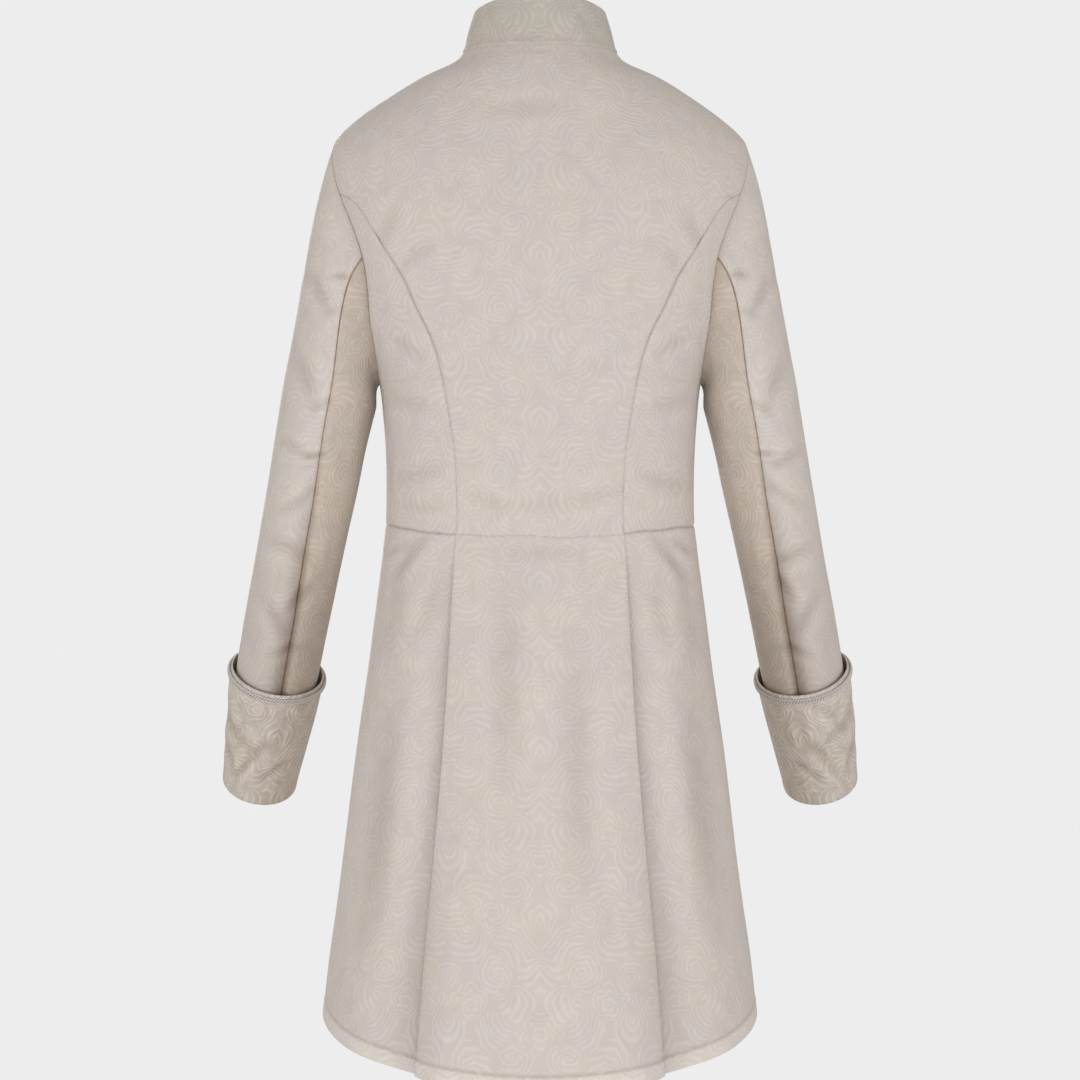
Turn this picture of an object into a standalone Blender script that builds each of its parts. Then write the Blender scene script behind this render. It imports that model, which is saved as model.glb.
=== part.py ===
"""A long fitted coat with a stand collar, pleated skirt and turned-back cuffs, worn shape, no wearer.

All sizes below are in millimetres. The frame is +Z up, the coat faces -Y and the wearer's left is +X.
The origin is at the centre of the neck opening, level with the neck seam at its sides.
"""
import math

import bmesh
import bpy
import numpy as np
from mathutils import Vector

MM = 0.001
CLOTH = 2.0
SEAM_GAP = 0.3
COLLAR_CLOTH = 3.0

# The coat's outer face is a stack of closed rings. Each ring is named by how far down it lies at the
# wearer's sides. back and front are its depths, squareness 2 is an ellipse, back_down and front_down
# are how far down the ring lies at centre back and centre front, and a smaller swing brings it to
# those levels sooner.
BODY_COLUMNS = ("down", "half_width", "back", "front", "squareness", "back_down", "front_down", "swing")
BODY_RINGS = (
    (0, 76.5, 62, 66, 2.00, 2, 72, 2),
    (10, 85, 70, 75, 2.05, 14, 82, 2),
    (26, 118.5, 80, 86, 2.10, 34, 99, 2),
    (46, 151.5, 90, 96, 2.20, 63, 121, 2),
    (66, 180, 97, 104, 2.25, 90, 142, 2),
    (88, 203, 103, 111, 2.35, 116, 163, 2),
    (116, 212, 108, 116, 2.45, 143, 184, 2),
    (148, 209.5, 111, 119, 2.55, 169, 204, 2),
    (180, 201, 113, 121, 2.60, 194, 223, 2),
    (209, 193.5, 113, 122, 2.60, 219, 243, 2),
    (240, 187, 112, 123, 2.60, 246, 266, 2),
    (270, 180, 111, 123, 2.60, 275, 291, 2),
    (300, 169, 109, 122, 2.55, 304, 316, 2),
    (330, 160.5, 107, 121, 2.50, 335, 343, 2),
    (366, 156.5, 104, 119, 2.45, 372, 375, 2),
    (406, 154, 100, 116, 2.40, 414, 412, 2),
    (440, 153.5, 98, 113, 2.35, 450, 444, 2),
    (471, 154, 98, 112, 2.35, 483, 476, 2),
    (500, 157, 103, 115, 2.35, 513, 506, 1.9),
    (546, 162.5, 112, 120, 2.30, 562, 554, 1.8),
    (606, 170.5, 126, 128, 2.25, 626, 616, 1.7),
    (686, 181.5, 145, 140, 2.20, 712, 698, 1.6),
    (766, 191.5, 165, 152, 2.15, 797, 780, 1.5),
    (846, 202, 184, 166, 2.10, 883, 861, 1.4),
    (900, 210, 197, 176, 2.10, 940, 916, 1.35),
    (951, 216, 209, 186, 2.10, 990, 968, 1.3),
)
WAIST_DOWN = 471
HEM_DOWN = 951

# The armhole is an egg-shaped loop on that face, from the shoulder tip (0 degrees) by the back (90)
# and the underarm (180) to the front (270). The cloth is cut away from the side by these angles.
ARMHOLE_TOP = 88
ARMHOLE_BOTTOM = 330
ARMHOLE_BACK_CUT = 33
ARMHOLE_FRONT_CUT = 36
PRINCESS_START = 60
SLEEVE_BACK_SEAM = 90
SLEEVE_FRONT_SEAM = -118
HALF_STATIONS = (0, 16, 32, 46, 60, 68, 79, 90, 104, 118, 132, 147, 163, 180)

# Distance of the back princess seam from centre back, and of the pleat edge that carries it on.
PRINCESS_COLUMNS = ("down", "out")
PRINCESS_SEAM = (
    (149.5, 191), (154, 181), (168, 171), (188, 157.5), (210, 144), (227, 134), (256, 121), (287, 106),
    (313, 97.5), (340, 92), (368, 87), (389, 83.5), (416, 81.5), (450, 80.6), (471, 80.6),
)
PLEAT_COLUMNS = ("down", "out", "sink", "valley", "valley_width", "doubling")
PLEAT_EDGE = (
    (471, 80.6, 0.0, 0.0, 26, 0.0),
    (530, 85.5, 0.3, 1.0, 30, 1.0),
    (575, 88.0, 0.8, 2.0, 34, 2.3),
    (655, 93.0, 1.8, 4.0, 42, 2.3),
    (745, 101.0, 3.2, 7.0, 50, 2.3),
    (850, 112.0, 5.0, 10.5, 58, 2.3),
    (951, 120.5, 6.5, 13.0, 64, 2.3),
)
PLEAT_ROLL_WIDTH = 32
PLEAT_UNDERLAP = 20
PLEAT_DOUBLE_WIDTH = 16

# The fronts lap: the wearer's left front lies on the right one, which reaches as far under it.
FRONT_LAP = 18
LAP_LIFT = CLOTH + 2 * SEAM_GAP
LAP_START = 44
LAP_RISE = 30

COLLAR_TOP = {"half_width": 66, "back": 54.5, "front": 61, "side_up": 40, "back_up": 48, "front_down": 29}
COLLAR_FRONT_GAP = 3

# Sleeve rings are named by how far down their centres lie. Each is square to the sleeve's centre line.
SLEEVE_COLUMNS = ("down", "out", "forward", "half_width", "half_depth", "twist")
SLEEVE_RINGS = (
    (346, 210.5, 0, 47.6, 63, 7),
    (386, 218.5, 0, 45.8, 61, 8),
    (426, 226, 3, 44.8, 59, 9),
    (466, 235, 12, 43.7, 57, 10),
    (506, 244, 25, 43.0, 55, 11),
    (547, 253.3, 41, 42.7, 53.5, 13),
    (588, 262.7, 58, 42.3, 52.5, 14),
    (628, 271.7, 75, 41.8, 51.5, 15),
    (668, 280, 92, 40.0, 49.5, 16),
    (708, 288, 108, 37.0, 46.5, 16),
    (742, 295, 122, 33.9, 43.5, 16),
)
SLEEVE_TOP_DOWN = 346

CUFF_COLUMNS = ("down", "half_width", "half_depth")
CUFF_RINGS = (
    (620, 48.2, 58.2),
    (651, 46.8, 56.5),
    (694, 42.8, 52.5),
    (728, 39.4, 49.0),
    (744, 38.6, 48.2),
)
CUFF_TOP_DOWN = 620
CUFF_BOTTOM_DOWN = 738
CUFF_CLOTH = 2.4
CUFF_ROLL = 3.4
CUFF_INSIDE_TURN = 11
BRAID_BELOW_TOP = 7
BRAID_WIDTH = 6.4
BRAID_HEIGHT = 2.6

# The levels dip at centre front, so these give even steps there.
BUTTON_DOWNS = (38, 111.5, 218, 302.5, 379.5, 452)
BUTTON_RADIUS = 10
BUTTON_HEIGHT = 7

BODICE_ROWS = (0, 10, 26, 46, 66)
BELOW_ARM_ROWS = (350, 380, 410, 440, 471)
SKIRT_ROWS = (471, 485, 505, 530, 560, 600, 645, 695, 745, 795, 845, 888, 922, 951)
HEAD_ROWS = (0, 0.12, 0.28, 0.5, 0.75, 1)
SLEEVE_ROWS = (375, 410, 445, 480, 515, 550, 590, 630, 680)
SLEEVE_END_DOWN = CUFF_BOTTOM_DOWN - CUFF_INSIDE_TURN - 0.9 * SEAM_GAP
CUFF_SIDES = 28
BRAID_SIDES = 28
BUTTON_SIDES = 12


def read_table(columns, rows):
    """Turn a table into smooth curves. The result gives one named column at a place along the first."""
    values = np.array(rows, dtype=float)
    keys = values[:, 0]
    slopes = np.gradient(values, keys, axis=0)

    def value(name, key):
        column = columns.index(name)
        i = int(np.clip(np.searchsorted(keys, key) - 1, 0, len(keys) - 2))
        span = keys[i + 1] - keys[i]
        t = (key - keys[i]) / span
        start, end = values[i, column], values[i + 1, column]
        leave, arrive = slopes[i, column] * span, slopes[i + 1, column] * span
        return (start * (1 + 2 * t) * (1 - t) ** 2 + leave * t * (1 - t) ** 2
                + end * t * t * (3 - 2 * t) - arrive * t * t * (1 - t))

    return value


body = read_table(BODY_COLUMNS, BODY_RINGS)
princess = read_table(PRINCESS_COLUMNS, PRINCESS_SEAM)
pleat = read_table(PLEAT_COLUMNS, PLEAT_EDGE)
sleeve = read_table(SLEEVE_COLUMNS, SLEEVE_RINGS)
cuff = read_table(CUFF_COLUMNS, CUFF_RINGS)


def ease(value):
    """A soft step from 0 to 1."""
    t = min(max(value, 0.0), 1.0)
    return t * t * (3 - 2 * t)


def rounded(angle, half_width, depth, squareness):
    """A point of a rounded ring."""
    side, centre = math.sin(angle), math.cos(angle)
    reach = (abs(side) ** squareness + abs(centre) ** squareness) ** (-1 / squareness)
    return half_width * side * reach, depth * centre * reach


def body_face(angle, down):
    """The coat's outer face. Angle 0 is centre back, 90 degrees the left side and 180 centre front."""
    end = "back" if math.cos(angle) >= 0 else "front"
    x, y = rounded(angle, body("half_width", down), body(end, down), body("squareness", down))
    level = down + (body(end + "_down", down) - down) * abs(math.cos(angle)) ** body("swing", down)
    return Vector((x, y, -level))


def normal_of(face, u, v, step_u, step_v):
    """The direction square to a face given as a function of two places along it."""
    along_u = face(u + step_u, v) - face(u - step_u, v)
    along_v = face(u, v + step_v) - face(u, v - step_v)
    return along_u.cross(along_v).normalized()


def body_normal(angle, down):
    low, high = BODY_RINGS[0][0] + 0.6, HEM_DOWN - 0.6
    return normal_of(body_face, angle, min(max(down, low), high), 0.004, 0.5)


def body_point(angle, down, lift=0.0):
    return body_face(angle, down) + body_normal(angle, down) * lift


def angle_at(down, out, front=False):
    """The angle of the ring where it is so far out from the centre line."""
    power = body("squareness", down)
    share = min(out / body("half_width", down), 1.0)
    angle = math.atan2(share, (1 - share ** power) ** (1 / power))
    return math.pi - angle if front else angle


def pull_in(angle, down, amount):
    """Move a place along the ring by a real distance."""
    per_radian = (body_face(angle + 0.002, down) - body_face(angle - 0.002, down)).length / 0.004
    return angle + amount / per_radian


def armhole_down(station):
    middle, half = (ARMHOLE_TOP + ARMHOLE_BOTTOM) / 2, (ARMHOLE_BOTTOM - ARMHOLE_TOP) / 2
    return middle - half * math.cos(math.radians(station))


def armhole_angle(station):
    """Where the armhole crosses the rings: behind the side for the back half, before it for the front."""
    cut = math.sin(math.radians(station))
    return math.radians(90 - (ARMHOLE_BACK_CUT if cut > 0 else ARMHOLE_FRONT_CUT) * cut)


def armhole_edge(down, front):
    """The armhole's angle at a level, or the shoulder and side seams above and below it."""
    if down <= ARMHOLE_TOP or down >= ARMHOLE_BOTTOM:
        return math.pi / 2
    middle, half = (ARMHOLE_TOP + ARMHOLE_BOTTOM) / 2, (ARMHOLE_BOTTOM - ARMHOLE_TOP) / 2
    station = math.degrees(math.acos((middle - down) / half))
    return armhole_angle(-station if front else station)


def armhole_rows(first=0.0, last=180.0):
    return [armhole_down(s) for s in HALF_STATIONS if first <= s <= last]


def princess_edge(down):
    return angle_at(down, princess("out", down))


def pleat_edge(down):
    return angle_at(down, pleat("out", down))


def loft(name, sections, material, wrap_sections=False):
    """Join closed sections of equal point count into one solid, capped at its ends unless it wraps."""
    shape = bmesh.new()
    rings = [[shape.verts.new(point * MM) for point in section] for section in sections]
    count = len(rings[0])
    pairs = list(zip(rings, rings[1:]))
    if wrap_sections:
        pairs.append((rings[-1], rings[0]))
    for ring, following in pairs:
        for i in range(count):
            j = (i + 1) % count
            shape.faces.new((ring[i], ring[j], following[j], following[i]))
    if not wrap_sections:
        for ring in (rings[0], rings[-1]):
            half = count // 2
            for i in range(half - 1):
                shape.faces.new((ring[i], ring[i + 1], ring[count - 2 - i], ring[count - 1 - i]))
    bmesh.ops.recalc_face_normals(shape, faces=shape.faces)
    mesh = bpy.data.meshes.new(name)
    shape.to_mesh(mesh)
    shape.free()
    mesh.shade_smooth()
    mesh.set_sharp_from_angle(angle=math.radians(40))
    mesh.materials.append(material)
    solid = bpy.data.objects.new(name, mesh)
    coat.objects.link(solid)
    return solid


def wall(name, outer, inner, material):
    """A cloth panel: each row of outer points, closed by the same row of inner points."""
    return loft(name, [out + list(reversed(within)) for out, within in zip(outer, inner)], material)


def gapped(rows):
    """Rows whose first and last keep half of the seam gap."""
    return [rows[0] + SEAM_GAP / 2] + list(rows[1:-1]) + [rows[-1] - SEAM_GAP / 2]


def panel(name, rows, edges, columns, material, lift=None, depth=None):
    """A panel of the body between two edge angles on each row.

    lift and depth are functions of the angle and the level: how far the outer face is moved out,
    and how thick the wall is there.
    """
    lift = lift or (lambda angle, down: 0.0)
    depth = depth or (lambda angle, down: CLOTH)
    outer, inner = [], []
    for down in rows:
        first, last = edges(down)
        sign = 1 if last > first else -1
        first = pull_in(first, down, sign * SEAM_GAP / 2)
        last = pull_in(last, down, -sign * SEAM_GAP / 2)
        angles = [first + (last - first) * i / columns for i in range(columns + 1)]
        outer.append([body_point(a, down, lift(a, down)) for a in angles])
        inner.append([body_point(a, down, lift(a, down) - depth(a, down)) for a in angles])
    return wall(name, outer, inner, material)


def mirrored(name, edges, side):
    """Name a left or right piece and turn its edge angles to that side."""
    label = f"{name}_left" if side > 0 else f"{name}_right"
    return label, lambda down: tuple(side * a for a in edges(down))


def make_back(cloth):
    def edge(down):
        return princess_edge(down) if down > armhole_down(PRINCESS_START) + 0.5 else armhole_edge(down, False)

    tip = armhole_down(PRINCESS_START) + 1.2
    rows = list(BODICE_ROWS) + armhole_rows(last=PRINCESS_START) + [tip]
    rows += armhole_rows(first=PRINCESS_START + 1) + list(BELOW_ARM_ROWS)
    panel("back", gapped(rows), lambda down: (-edge(down), edge(down)), 16, cloth)


def make_side_backs(cloth):
    tip = armhole_down(PRINCESS_START) + 1.2
    rows = [tip] + armhole_rows(first=PRINCESS_START + 1) + list(BELOW_ARM_ROWS)
    for side in (1, -1):
        name, edges = mirrored("side_back", lambda down: (princess_edge(down), armhole_edge(down, False)), side)
        panel(name, rows[:-1] + [rows[-1] - SEAM_GAP / 2], edges, 5, cloth)


def front_edge(down):
    """Past centre front by the lap."""
    return 2 * math.pi - angle_at(down, FRONT_LAP, front=True)


def lap_lift(angle, down):
    """The left front rises over the right front's edge."""
    share = math.sin(angle) * body("half_width", down)
    return LAP_LIFT * (1 - ease((share - LAP_START) / LAP_RISE))


def front_rows():
    return list(BODICE_ROWS) + armhole_rows() + list(BELOW_ARM_ROWS)


def make_fronts(cloth):
    for side, lift in ((1, lap_lift), (-1, None)):
        name, edges = mirrored("front", lambda down: (armhole_edge(down, True), front_edge(down)), side)
        panel(name, gapped(front_rows()), edges, 10, cloth, lift=lift)


def side_out(angle, down):
    """Distance from centre back along the width, for either side."""
    return abs(body_face(angle, down).x)


def pleat_sink(angle, down):
    """The centre skirt panel rolls in towards its pleat edges."""
    inside = pleat("out", down) - side_out(angle, down)
    return -pleat("sink", down) * ease(1 - inside / PLEAT_ROLL_WIDTH)


def pleat_depth(angle, down):
    """The pleat's folded edge is two cloths thick."""
    inside = pleat("out", down) - side_out(angle, down)
    return CLOTH + pleat("doubling", down) * ease(1.5 - inside / PLEAT_DOUBLE_WIDTH)


def side_sink(angle, down):
    """The side skirt panel starts under the pleat and comes up to the face beyond the valley."""
    beyond = side_out(angle, down) - pleat("out", down)
    depth = CLOTH + SEAM_GAP + pleat("doubling", down) + pleat("sink", down) + pleat("valley", down)
    under = CLOTH + SEAM_GAP + pleat("doubling", down) + pleat("sink", down)
    if beyond <= 0:
        return -under - pleat("valley", down) * ease(1 + beyond / PLEAT_UNDERLAP)
    return -depth * (1 - ease(beyond / pleat("valley_width", down)))


def make_skirt(cloth):
    rows = [SKIRT_ROWS[0] + SEAM_GAP / 2] + list(SKIRT_ROWS[1:])
    panel("skirt_back", rows, lambda down: (-pleat_edge(down), pleat_edge(down)), 16, cloth,
          lift=pleat_sink, depth=pleat_depth)

    def side_edges(down):
        return angle_at(down, pleat("out", down) - PLEAT_UNDERLAP), math.pi / 2

    for side in (1, -1):
        name, edges = mirrored("skirt_side", side_edges, side)
        panel(name, rows, edges, 10, cloth, lift=side_sink)
    for side, lift in ((1, lap_lift), (-1, None)):
        name, edges = mirrored("skirt_front", lambda down: (math.pi / 2, front_edge(down)), side)
        panel(name, rows, edges, 12, cloth, lift=lift)


def collar_face(angle, up):
    """The stand collar's outer face, from the neck seam (0) to its top edge (1)."""
    foot = body_face(angle, 0)
    end = "back" if math.cos(angle) >= 0 else "front"
    x, y = rounded(angle, COLLAR_TOP["half_width"], COLLAR_TOP[end], 2)
    end_up = COLLAR_TOP["back_up"] if end == "back" else -COLLAR_TOP["front_down"]
    top = Vector((x, y, COLLAR_TOP["side_up"] + (end_up - COLLAR_TOP["side_up"]) * math.cos(angle) ** 2))
    return foot.lerp(top, up)


def make_collar(cloth):
    stop = math.pi - COLLAR_FRONT_GAP / COLLAR_TOP["half_width"]
    columns, rows = 34, (0.008, 0.26, 0.52, 0.78, 1.0)
    outer, inner = [], []
    for up in rows:
        angles = [-stop + 2 * stop * i / columns for i in range(columns + 1)]
        faces = [collar_face(a, up) for a in angles]
        inward = [normal_of(collar_face, a, up, 0.01, 0.02) * COLLAR_CLOTH for a in angles]
        outer.append(faces)
        inner.append([face + move for face, move in zip(faces, inward)])
    wall("collar", outer, inner, cloth)


def sleeve_axis(down):
    return Vector((sleeve("out", down), -sleeve("forward", down), -down))


def sleeve_ring(station, down, half_width, half_depth):
    """A point of a ring square to the left sleeve's centre line."""
    along = (sleeve_axis(down + 2) - sleeve_axis(down - 2)).normalized()
    across = (Vector((1, 0, 0)) - along * along.x).normalized()
    back = across.cross(along)
    angle = math.radians(station + sleeve("twist", down))
    return sleeve_axis(down) + across * half_width * math.cos(angle) + back * half_depth * math.sin(angle)


def armhole_point(station):
    turned = (station + 180) % 360 - 180
    return body_face(armhole_angle(turned), armhole_down(turned))


def head_start(station):
    """The way the sleeve leaves the armhole: out and down, and backwards or forwards at those sides."""
    angle = math.radians(station)
    out, down = 0.56 - 0.26 * math.cos(angle), 0.68 + 0.24 * math.cos(angle)
    return Vector((out, 0.42 * math.sin(angle), -down)).normalized()


def sleeve_face(station, place):
    """The left sleeve's outer face: place 0 to 1 is the head, and beyond 1 it is a level down."""
    if place > 1:
        return sleeve_ring(station, place, sleeve("half_width", place), sleeve("half_depth", place))
    start = armhole_point(station) + head_start(station) * (SEAM_GAP + 0.1)
    end = sleeve_ring(station, SLEEVE_TOP_DOWN, sleeve("half_width", SLEEVE_TOP_DOWN),
                      sleeve("half_depth", SLEEVE_TOP_DOWN))
    chord = (end - start).length
    along = (sleeve_axis(SLEEVE_TOP_DOWN + 2) - sleeve_axis(SLEEVE_TOP_DOWN)).normalized()
    leave, arrive, t = head_start(station) * chord * 0.9, along * chord, place
    return (start * (1 + 2 * t) * (1 - t) ** 2 + leave * t * (1 - t) ** 2
            + end * t * t * (3 - 2 * t) - arrive * t * t * (1 - t))


def sleeve_normal(station, place):
    if place > 1:
        return -normal_of(sleeve_face, station, place, 1.0, 0.5)
    inside = min(max(place, 0.03), 0.97)
    return -normal_of(sleeve_face, station, inside, 1.0, 0.02)


def seam_normal(station):
    """At the armhole the sleeve's edge leans as the body's edge does, so that the two stay apart."""
    turned = (station + 180) % 360 - 180
    of_body = body_normal(armhole_angle(turned), armhole_down(turned))
    if head_start(station).dot(of_body) <= 0:
        return of_body
    return (of_body + sleeve_normal(station, 0)).normalized()


def sleeve_piece(name, stations, side, cloth):
    half_gap = math.degrees(SEAM_GAP / 2 / 50)
    places = list(stations)
    places[0] += half_gap
    places[-1] -= half_gap
    outer, inner = [], []
    for place in HEAD_ROWS + SLEEVE_ROWS + (SLEEVE_END_DOWN,):
        faces, backs = [], []
        for station in places:
            point = sleeve_face(station, place)
            out = seam_normal(station) if place == 0 else sleeve_normal(station, place)
            faces.append(Vector((side * point.x, point.y, point.z)))
            within = point - out * CLOTH
            backs.append(Vector((side * within.x, within.y, within.z)))
        outer.append(faces)
        inner.append(backs)
    wall(name, outer, inner, cloth)


def all_stations():
    """Stations from the front sleeve seam, over the shoulder tip, to the same seam again."""
    whole = [-s for s in reversed(HALF_STATIONS[1:-1])] + list(HALF_STATIONS)
    whole += [360 - s for s in reversed(HALF_STATIONS[1:-1])]
    return whole


def make_sleeves(cloth):
    stations = all_stations()
    upper = [s for s in stations if SLEEVE_FRONT_SEAM <= s <= SLEEVE_BACK_SEAM]
    under = [s for s in stations if SLEEVE_BACK_SEAM <= s <= 360 + SLEEVE_FRONT_SEAM]
    for side, label in ((1, "left"), (-1, "right")):
        sleeve_piece(f"sleeve_upper_{label}", upper, side, cloth)
        sleeve_piece(f"sleeve_under_{label}", under, side, cloth)


def cuff_point(station, down, inset):
    return sleeve_ring(station, down, cuff("half_width", down) - inset, cuff("half_depth", down) - inset)


def cuff_profile():
    """The cuff's wall in section, as (level, inset) pairs: down the outside, round the rolled edge,
    a short way up inside, and back up the inner side of the same cloth."""
    bottom, cloth, roll = CUFF_BOTTOM_DOWN, CUFF_CLOTH, CUFF_ROLL
    rows = [(CUFF_TOP_DOWN, 0.7), (CUFF_TOP_DOWN + 1.2, 0), (650, 0), (680, 0), (710, 0), (bottom - 6, 0)]
    rows += [(bottom + roll * math.sin(math.radians(t)), roll - roll * math.cos(math.radians(t)))
             for t in (30, 90, 150)]
    rows += [(bottom - CUFF_INSIDE_TURN, 2 * roll), (bottom - CUFF_INSIDE_TURN, 2 * roll - cloth)]
    tight = roll - cloth
    rows += [(bottom + tight * math.sin(math.radians(t)), roll + tight * math.cos(math.radians(t)))
             for t in (45, 135)]
    rows += [(710, cloth), (680, cloth), (650, cloth), (CUFF_TOP_DOWN + 1.2, cloth), (CUFF_TOP_DOWN, cloth - 0.7)]
    return rows


def braid_profile():
    """The braid's flat oval section, as (level, inset) pairs, just clear of the cuff."""
    middle = CUFF_TOP_DOWN + BRAID_BELOW_TOP
    rise = BRAID_HEIGHT / 2
    return [(middle + BRAID_WIDTH / 2 * math.cos(math.radians(t)),
             -SEAM_GAP - rise + rise * math.sin(math.radians(t))) for t in range(0, 360, 60)]


def ring_piece(name, profile, sides, side, material):
    sections = []
    for i in range(sides):
        section = [cuff_point(360 * i / sides, down, inset) for down, inset in profile]
        sections.append([Vector((side * p.x, p.y, p.z)) for p in section])
    loft(name, sections, material, wrap_sections=True)


def make_cuffs(cloth, braid):
    for side, label in ((1, "left"), (-1, "right")):
        ring_piece(f"cuff_{label}", cuff_profile(), CUFF_SIDES, side, cloth)
        ring_piece(f"cuff_braid_{label}", braid_profile(), BRAID_SIDES, side, braid)


def make_buttons(material):
    """Low domed buttons on short shanks, turned about their axes, seated on the lapped front."""
    profile = ((0, 0), (0.35, 0), (0.4, 0.16), (0.92, 0.22), (1, 0.38), (0.95, 0.6), (0.7, 0.86), (0, 1))
    for k, down in enumerate(BUTTON_DOWNS):
        out = body_normal(math.pi, down)
        seat = body_point(math.pi, down, LAP_LIFT + 1.2 * SEAM_GAP)
        mesh = bpy.data.meshes.new(f"button_{k + 1}")
        shape = bmesh.new()
        verts = [shape.verts.new((r * BUTTON_RADIUS * MM, 0, h * BUTTON_HEIGHT * MM)) for r, h in profile]
        for below, above in zip(verts, verts[1:]):
            shape.edges.new((below, above))
        bmesh.ops.spin(shape, geom=shape.verts[:] + shape.edges[:], axis=(0, 0, 1), cent=(0, 0, 0),
                       angle=2 * math.pi, steps=BUTTON_SIDES, use_merge=True)
        bmesh.ops.remove_doubles(shape, verts=shape.verts, dist=1e-6)
        bmesh.ops.recalc_face_normals(shape, faces=shape.faces)
        shape.to_mesh(mesh)
        shape.free()
        mesh.shade_smooth()
        mesh.materials.append(material)
        button = bpy.data.objects.new(f"button_{k + 1}", mesh)
        button.location = seat * MM
        button.rotation_euler = out.to_track_quat("Z", "Y").to_euler()
        coat.objects.link(button)


def cloth_material(name, colour, roughness):
    material = bpy.data.materials.new(name)
    material.use_nodes = True
    shader = material.node_tree.nodes["Principled BSDF"]
    shader.inputs["Base Color"].default_value = (*colour, 1)
    shader.inputs["Roughness"].default_value = roughness
    shader.inputs["Metallic"].default_value = 0.0
    return material


for old in list(bpy.data.objects):
    bpy.data.objects.remove(old, do_unlink=True)
coat = bpy.data.collections.new("long_coat")
bpy.context.scene.collection.children.link(coat)
brocade = cloth_material("ivory_brocade", (0.64, 0.57, 0.50), 0.6)
gimp = cloth_material("white_gimp", (0.66, 0.66, 0.68), 0.5)
covered = cloth_material("covered_button", (0.62, 0.56, 0.50), 0.5)
make_back(brocade)
make_side_backs(brocade)
make_fronts(brocade)
make_collar(brocade)
make_skirt(brocade)
make_sleeves(brocade)
make_cuffs(brocade, gimp)
make_buttons(covered)
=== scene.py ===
"""A long fitted coat in ivory brocade: stand collar, pleated skirt and deep turned-back cuffs.

Sizes are in millimetres and colours in sRGB hex. The frame is +Z up, the coat faces -Y and the
wearer's left is +X. The origin is the middle of the neck opening, and "down" is measured from it.
"""
import math

import bmesh
import bpy
import numpy as np
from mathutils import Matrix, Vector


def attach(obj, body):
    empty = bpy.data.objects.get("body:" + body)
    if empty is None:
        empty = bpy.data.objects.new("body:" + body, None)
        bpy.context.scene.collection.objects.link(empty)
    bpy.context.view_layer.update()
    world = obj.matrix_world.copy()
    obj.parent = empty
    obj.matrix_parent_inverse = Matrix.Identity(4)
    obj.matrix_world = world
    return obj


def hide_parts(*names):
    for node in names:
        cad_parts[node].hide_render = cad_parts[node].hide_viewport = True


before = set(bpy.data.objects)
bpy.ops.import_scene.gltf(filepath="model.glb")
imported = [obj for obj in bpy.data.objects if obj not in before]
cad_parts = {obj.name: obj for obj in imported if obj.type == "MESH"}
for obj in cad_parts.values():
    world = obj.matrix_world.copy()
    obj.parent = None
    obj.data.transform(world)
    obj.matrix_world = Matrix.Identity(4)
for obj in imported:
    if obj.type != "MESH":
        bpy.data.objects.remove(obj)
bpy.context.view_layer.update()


# The camera, floor and light. The coat is seen square from behind, from as far as a long lens
# stands, on a pale ground with broad soft light from the viewer's side.
MM = 0.001
VIEW_DISTANCE = 2.4
VIEW_DOWN = 486
VIEW_WIDTH = 1.08
SENSOR = 36
FLOOR_DOWN = 1500
FLOOR_RADIUS = 1.9
GROUND = "ededed"
FILL = "f3efea"
FLOOR = "cfccc8"
AIM = (0, 0, -0.5)


def linear(colour):
    """An sRGB hex colour as linear values."""
    parts = [int(colour[i:i + 2], 16) / 255 for i in (0, 2, 4)]
    return tuple(p / 12.92 if p <= 0.04045 else ((p + 0.055) / 1.055) ** 2.4 for p in parts) + (1.0,)


def add(tree, kind, inputs=(), **settings):
    """Add a node and give its outputs. inputs holds each socket's value, or the output that feeds it."""
    node = tree.nodes.new(kind)
    for name, value in settings.items():
        setattr(node, name, value)
    for key, value in dict(inputs).items():
        if isinstance(value, bpy.types.NodeSocket):
            tree.links.new(value, node.inputs[key])
        else:
            node.inputs[key].default_value = value
    return node.outputs


def empty_material(name):
    """A new material without nodes, and its node tree."""
    material = bpy.data.materials.new(name)
    material.use_nodes = True
    material.node_tree.nodes.clear()
    return material, material.node_tree


def linked(name, data):
    """An object at the origin with this data."""
    thing = bpy.data.objects.new(name, data)
    bpy.context.scene.collection.objects.link(thing)
    return thing


lens = bpy.data.cameras.new("camera")
lens.sensor_width = SENSOR
lens.lens = SENSOR * VIEW_DISTANCE / VIEW_WIDTH
lens.clip_end = 50
camera = linked("camera", lens)
camera.location = (0, VIEW_DISTANCE, -VIEW_DOWN * MM)
camera.rotation_euler = (math.pi / 2, 0, math.pi)
bpy.context.scene.camera = camera
bpy.context.scene.view_settings.view_transform = "Standard"

shape = bmesh.new()
bmesh.ops.create_circle(shape, cap_ends=True, segments=96, radius=FLOOR_RADIUS)
bmesh.ops.translate(shape, verts=shape.verts, vec=(0, 0, -FLOOR_DOWN * MM))
mesh = bpy.data.meshes.new("floor")
shape.to_mesh(mesh)
shape.free()
paint, tree = empty_material("matt_floor_paint")
matt = add(tree, "ShaderNodeBsdfPrincipled", {"Base Color": linear(FLOOR), "Roughness": 0.9})
add(tree, "ShaderNodeOutputMaterial", {"Surface": matt[0]})
mesh.materials.append(paint)
linked("floor", mesh)

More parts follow.
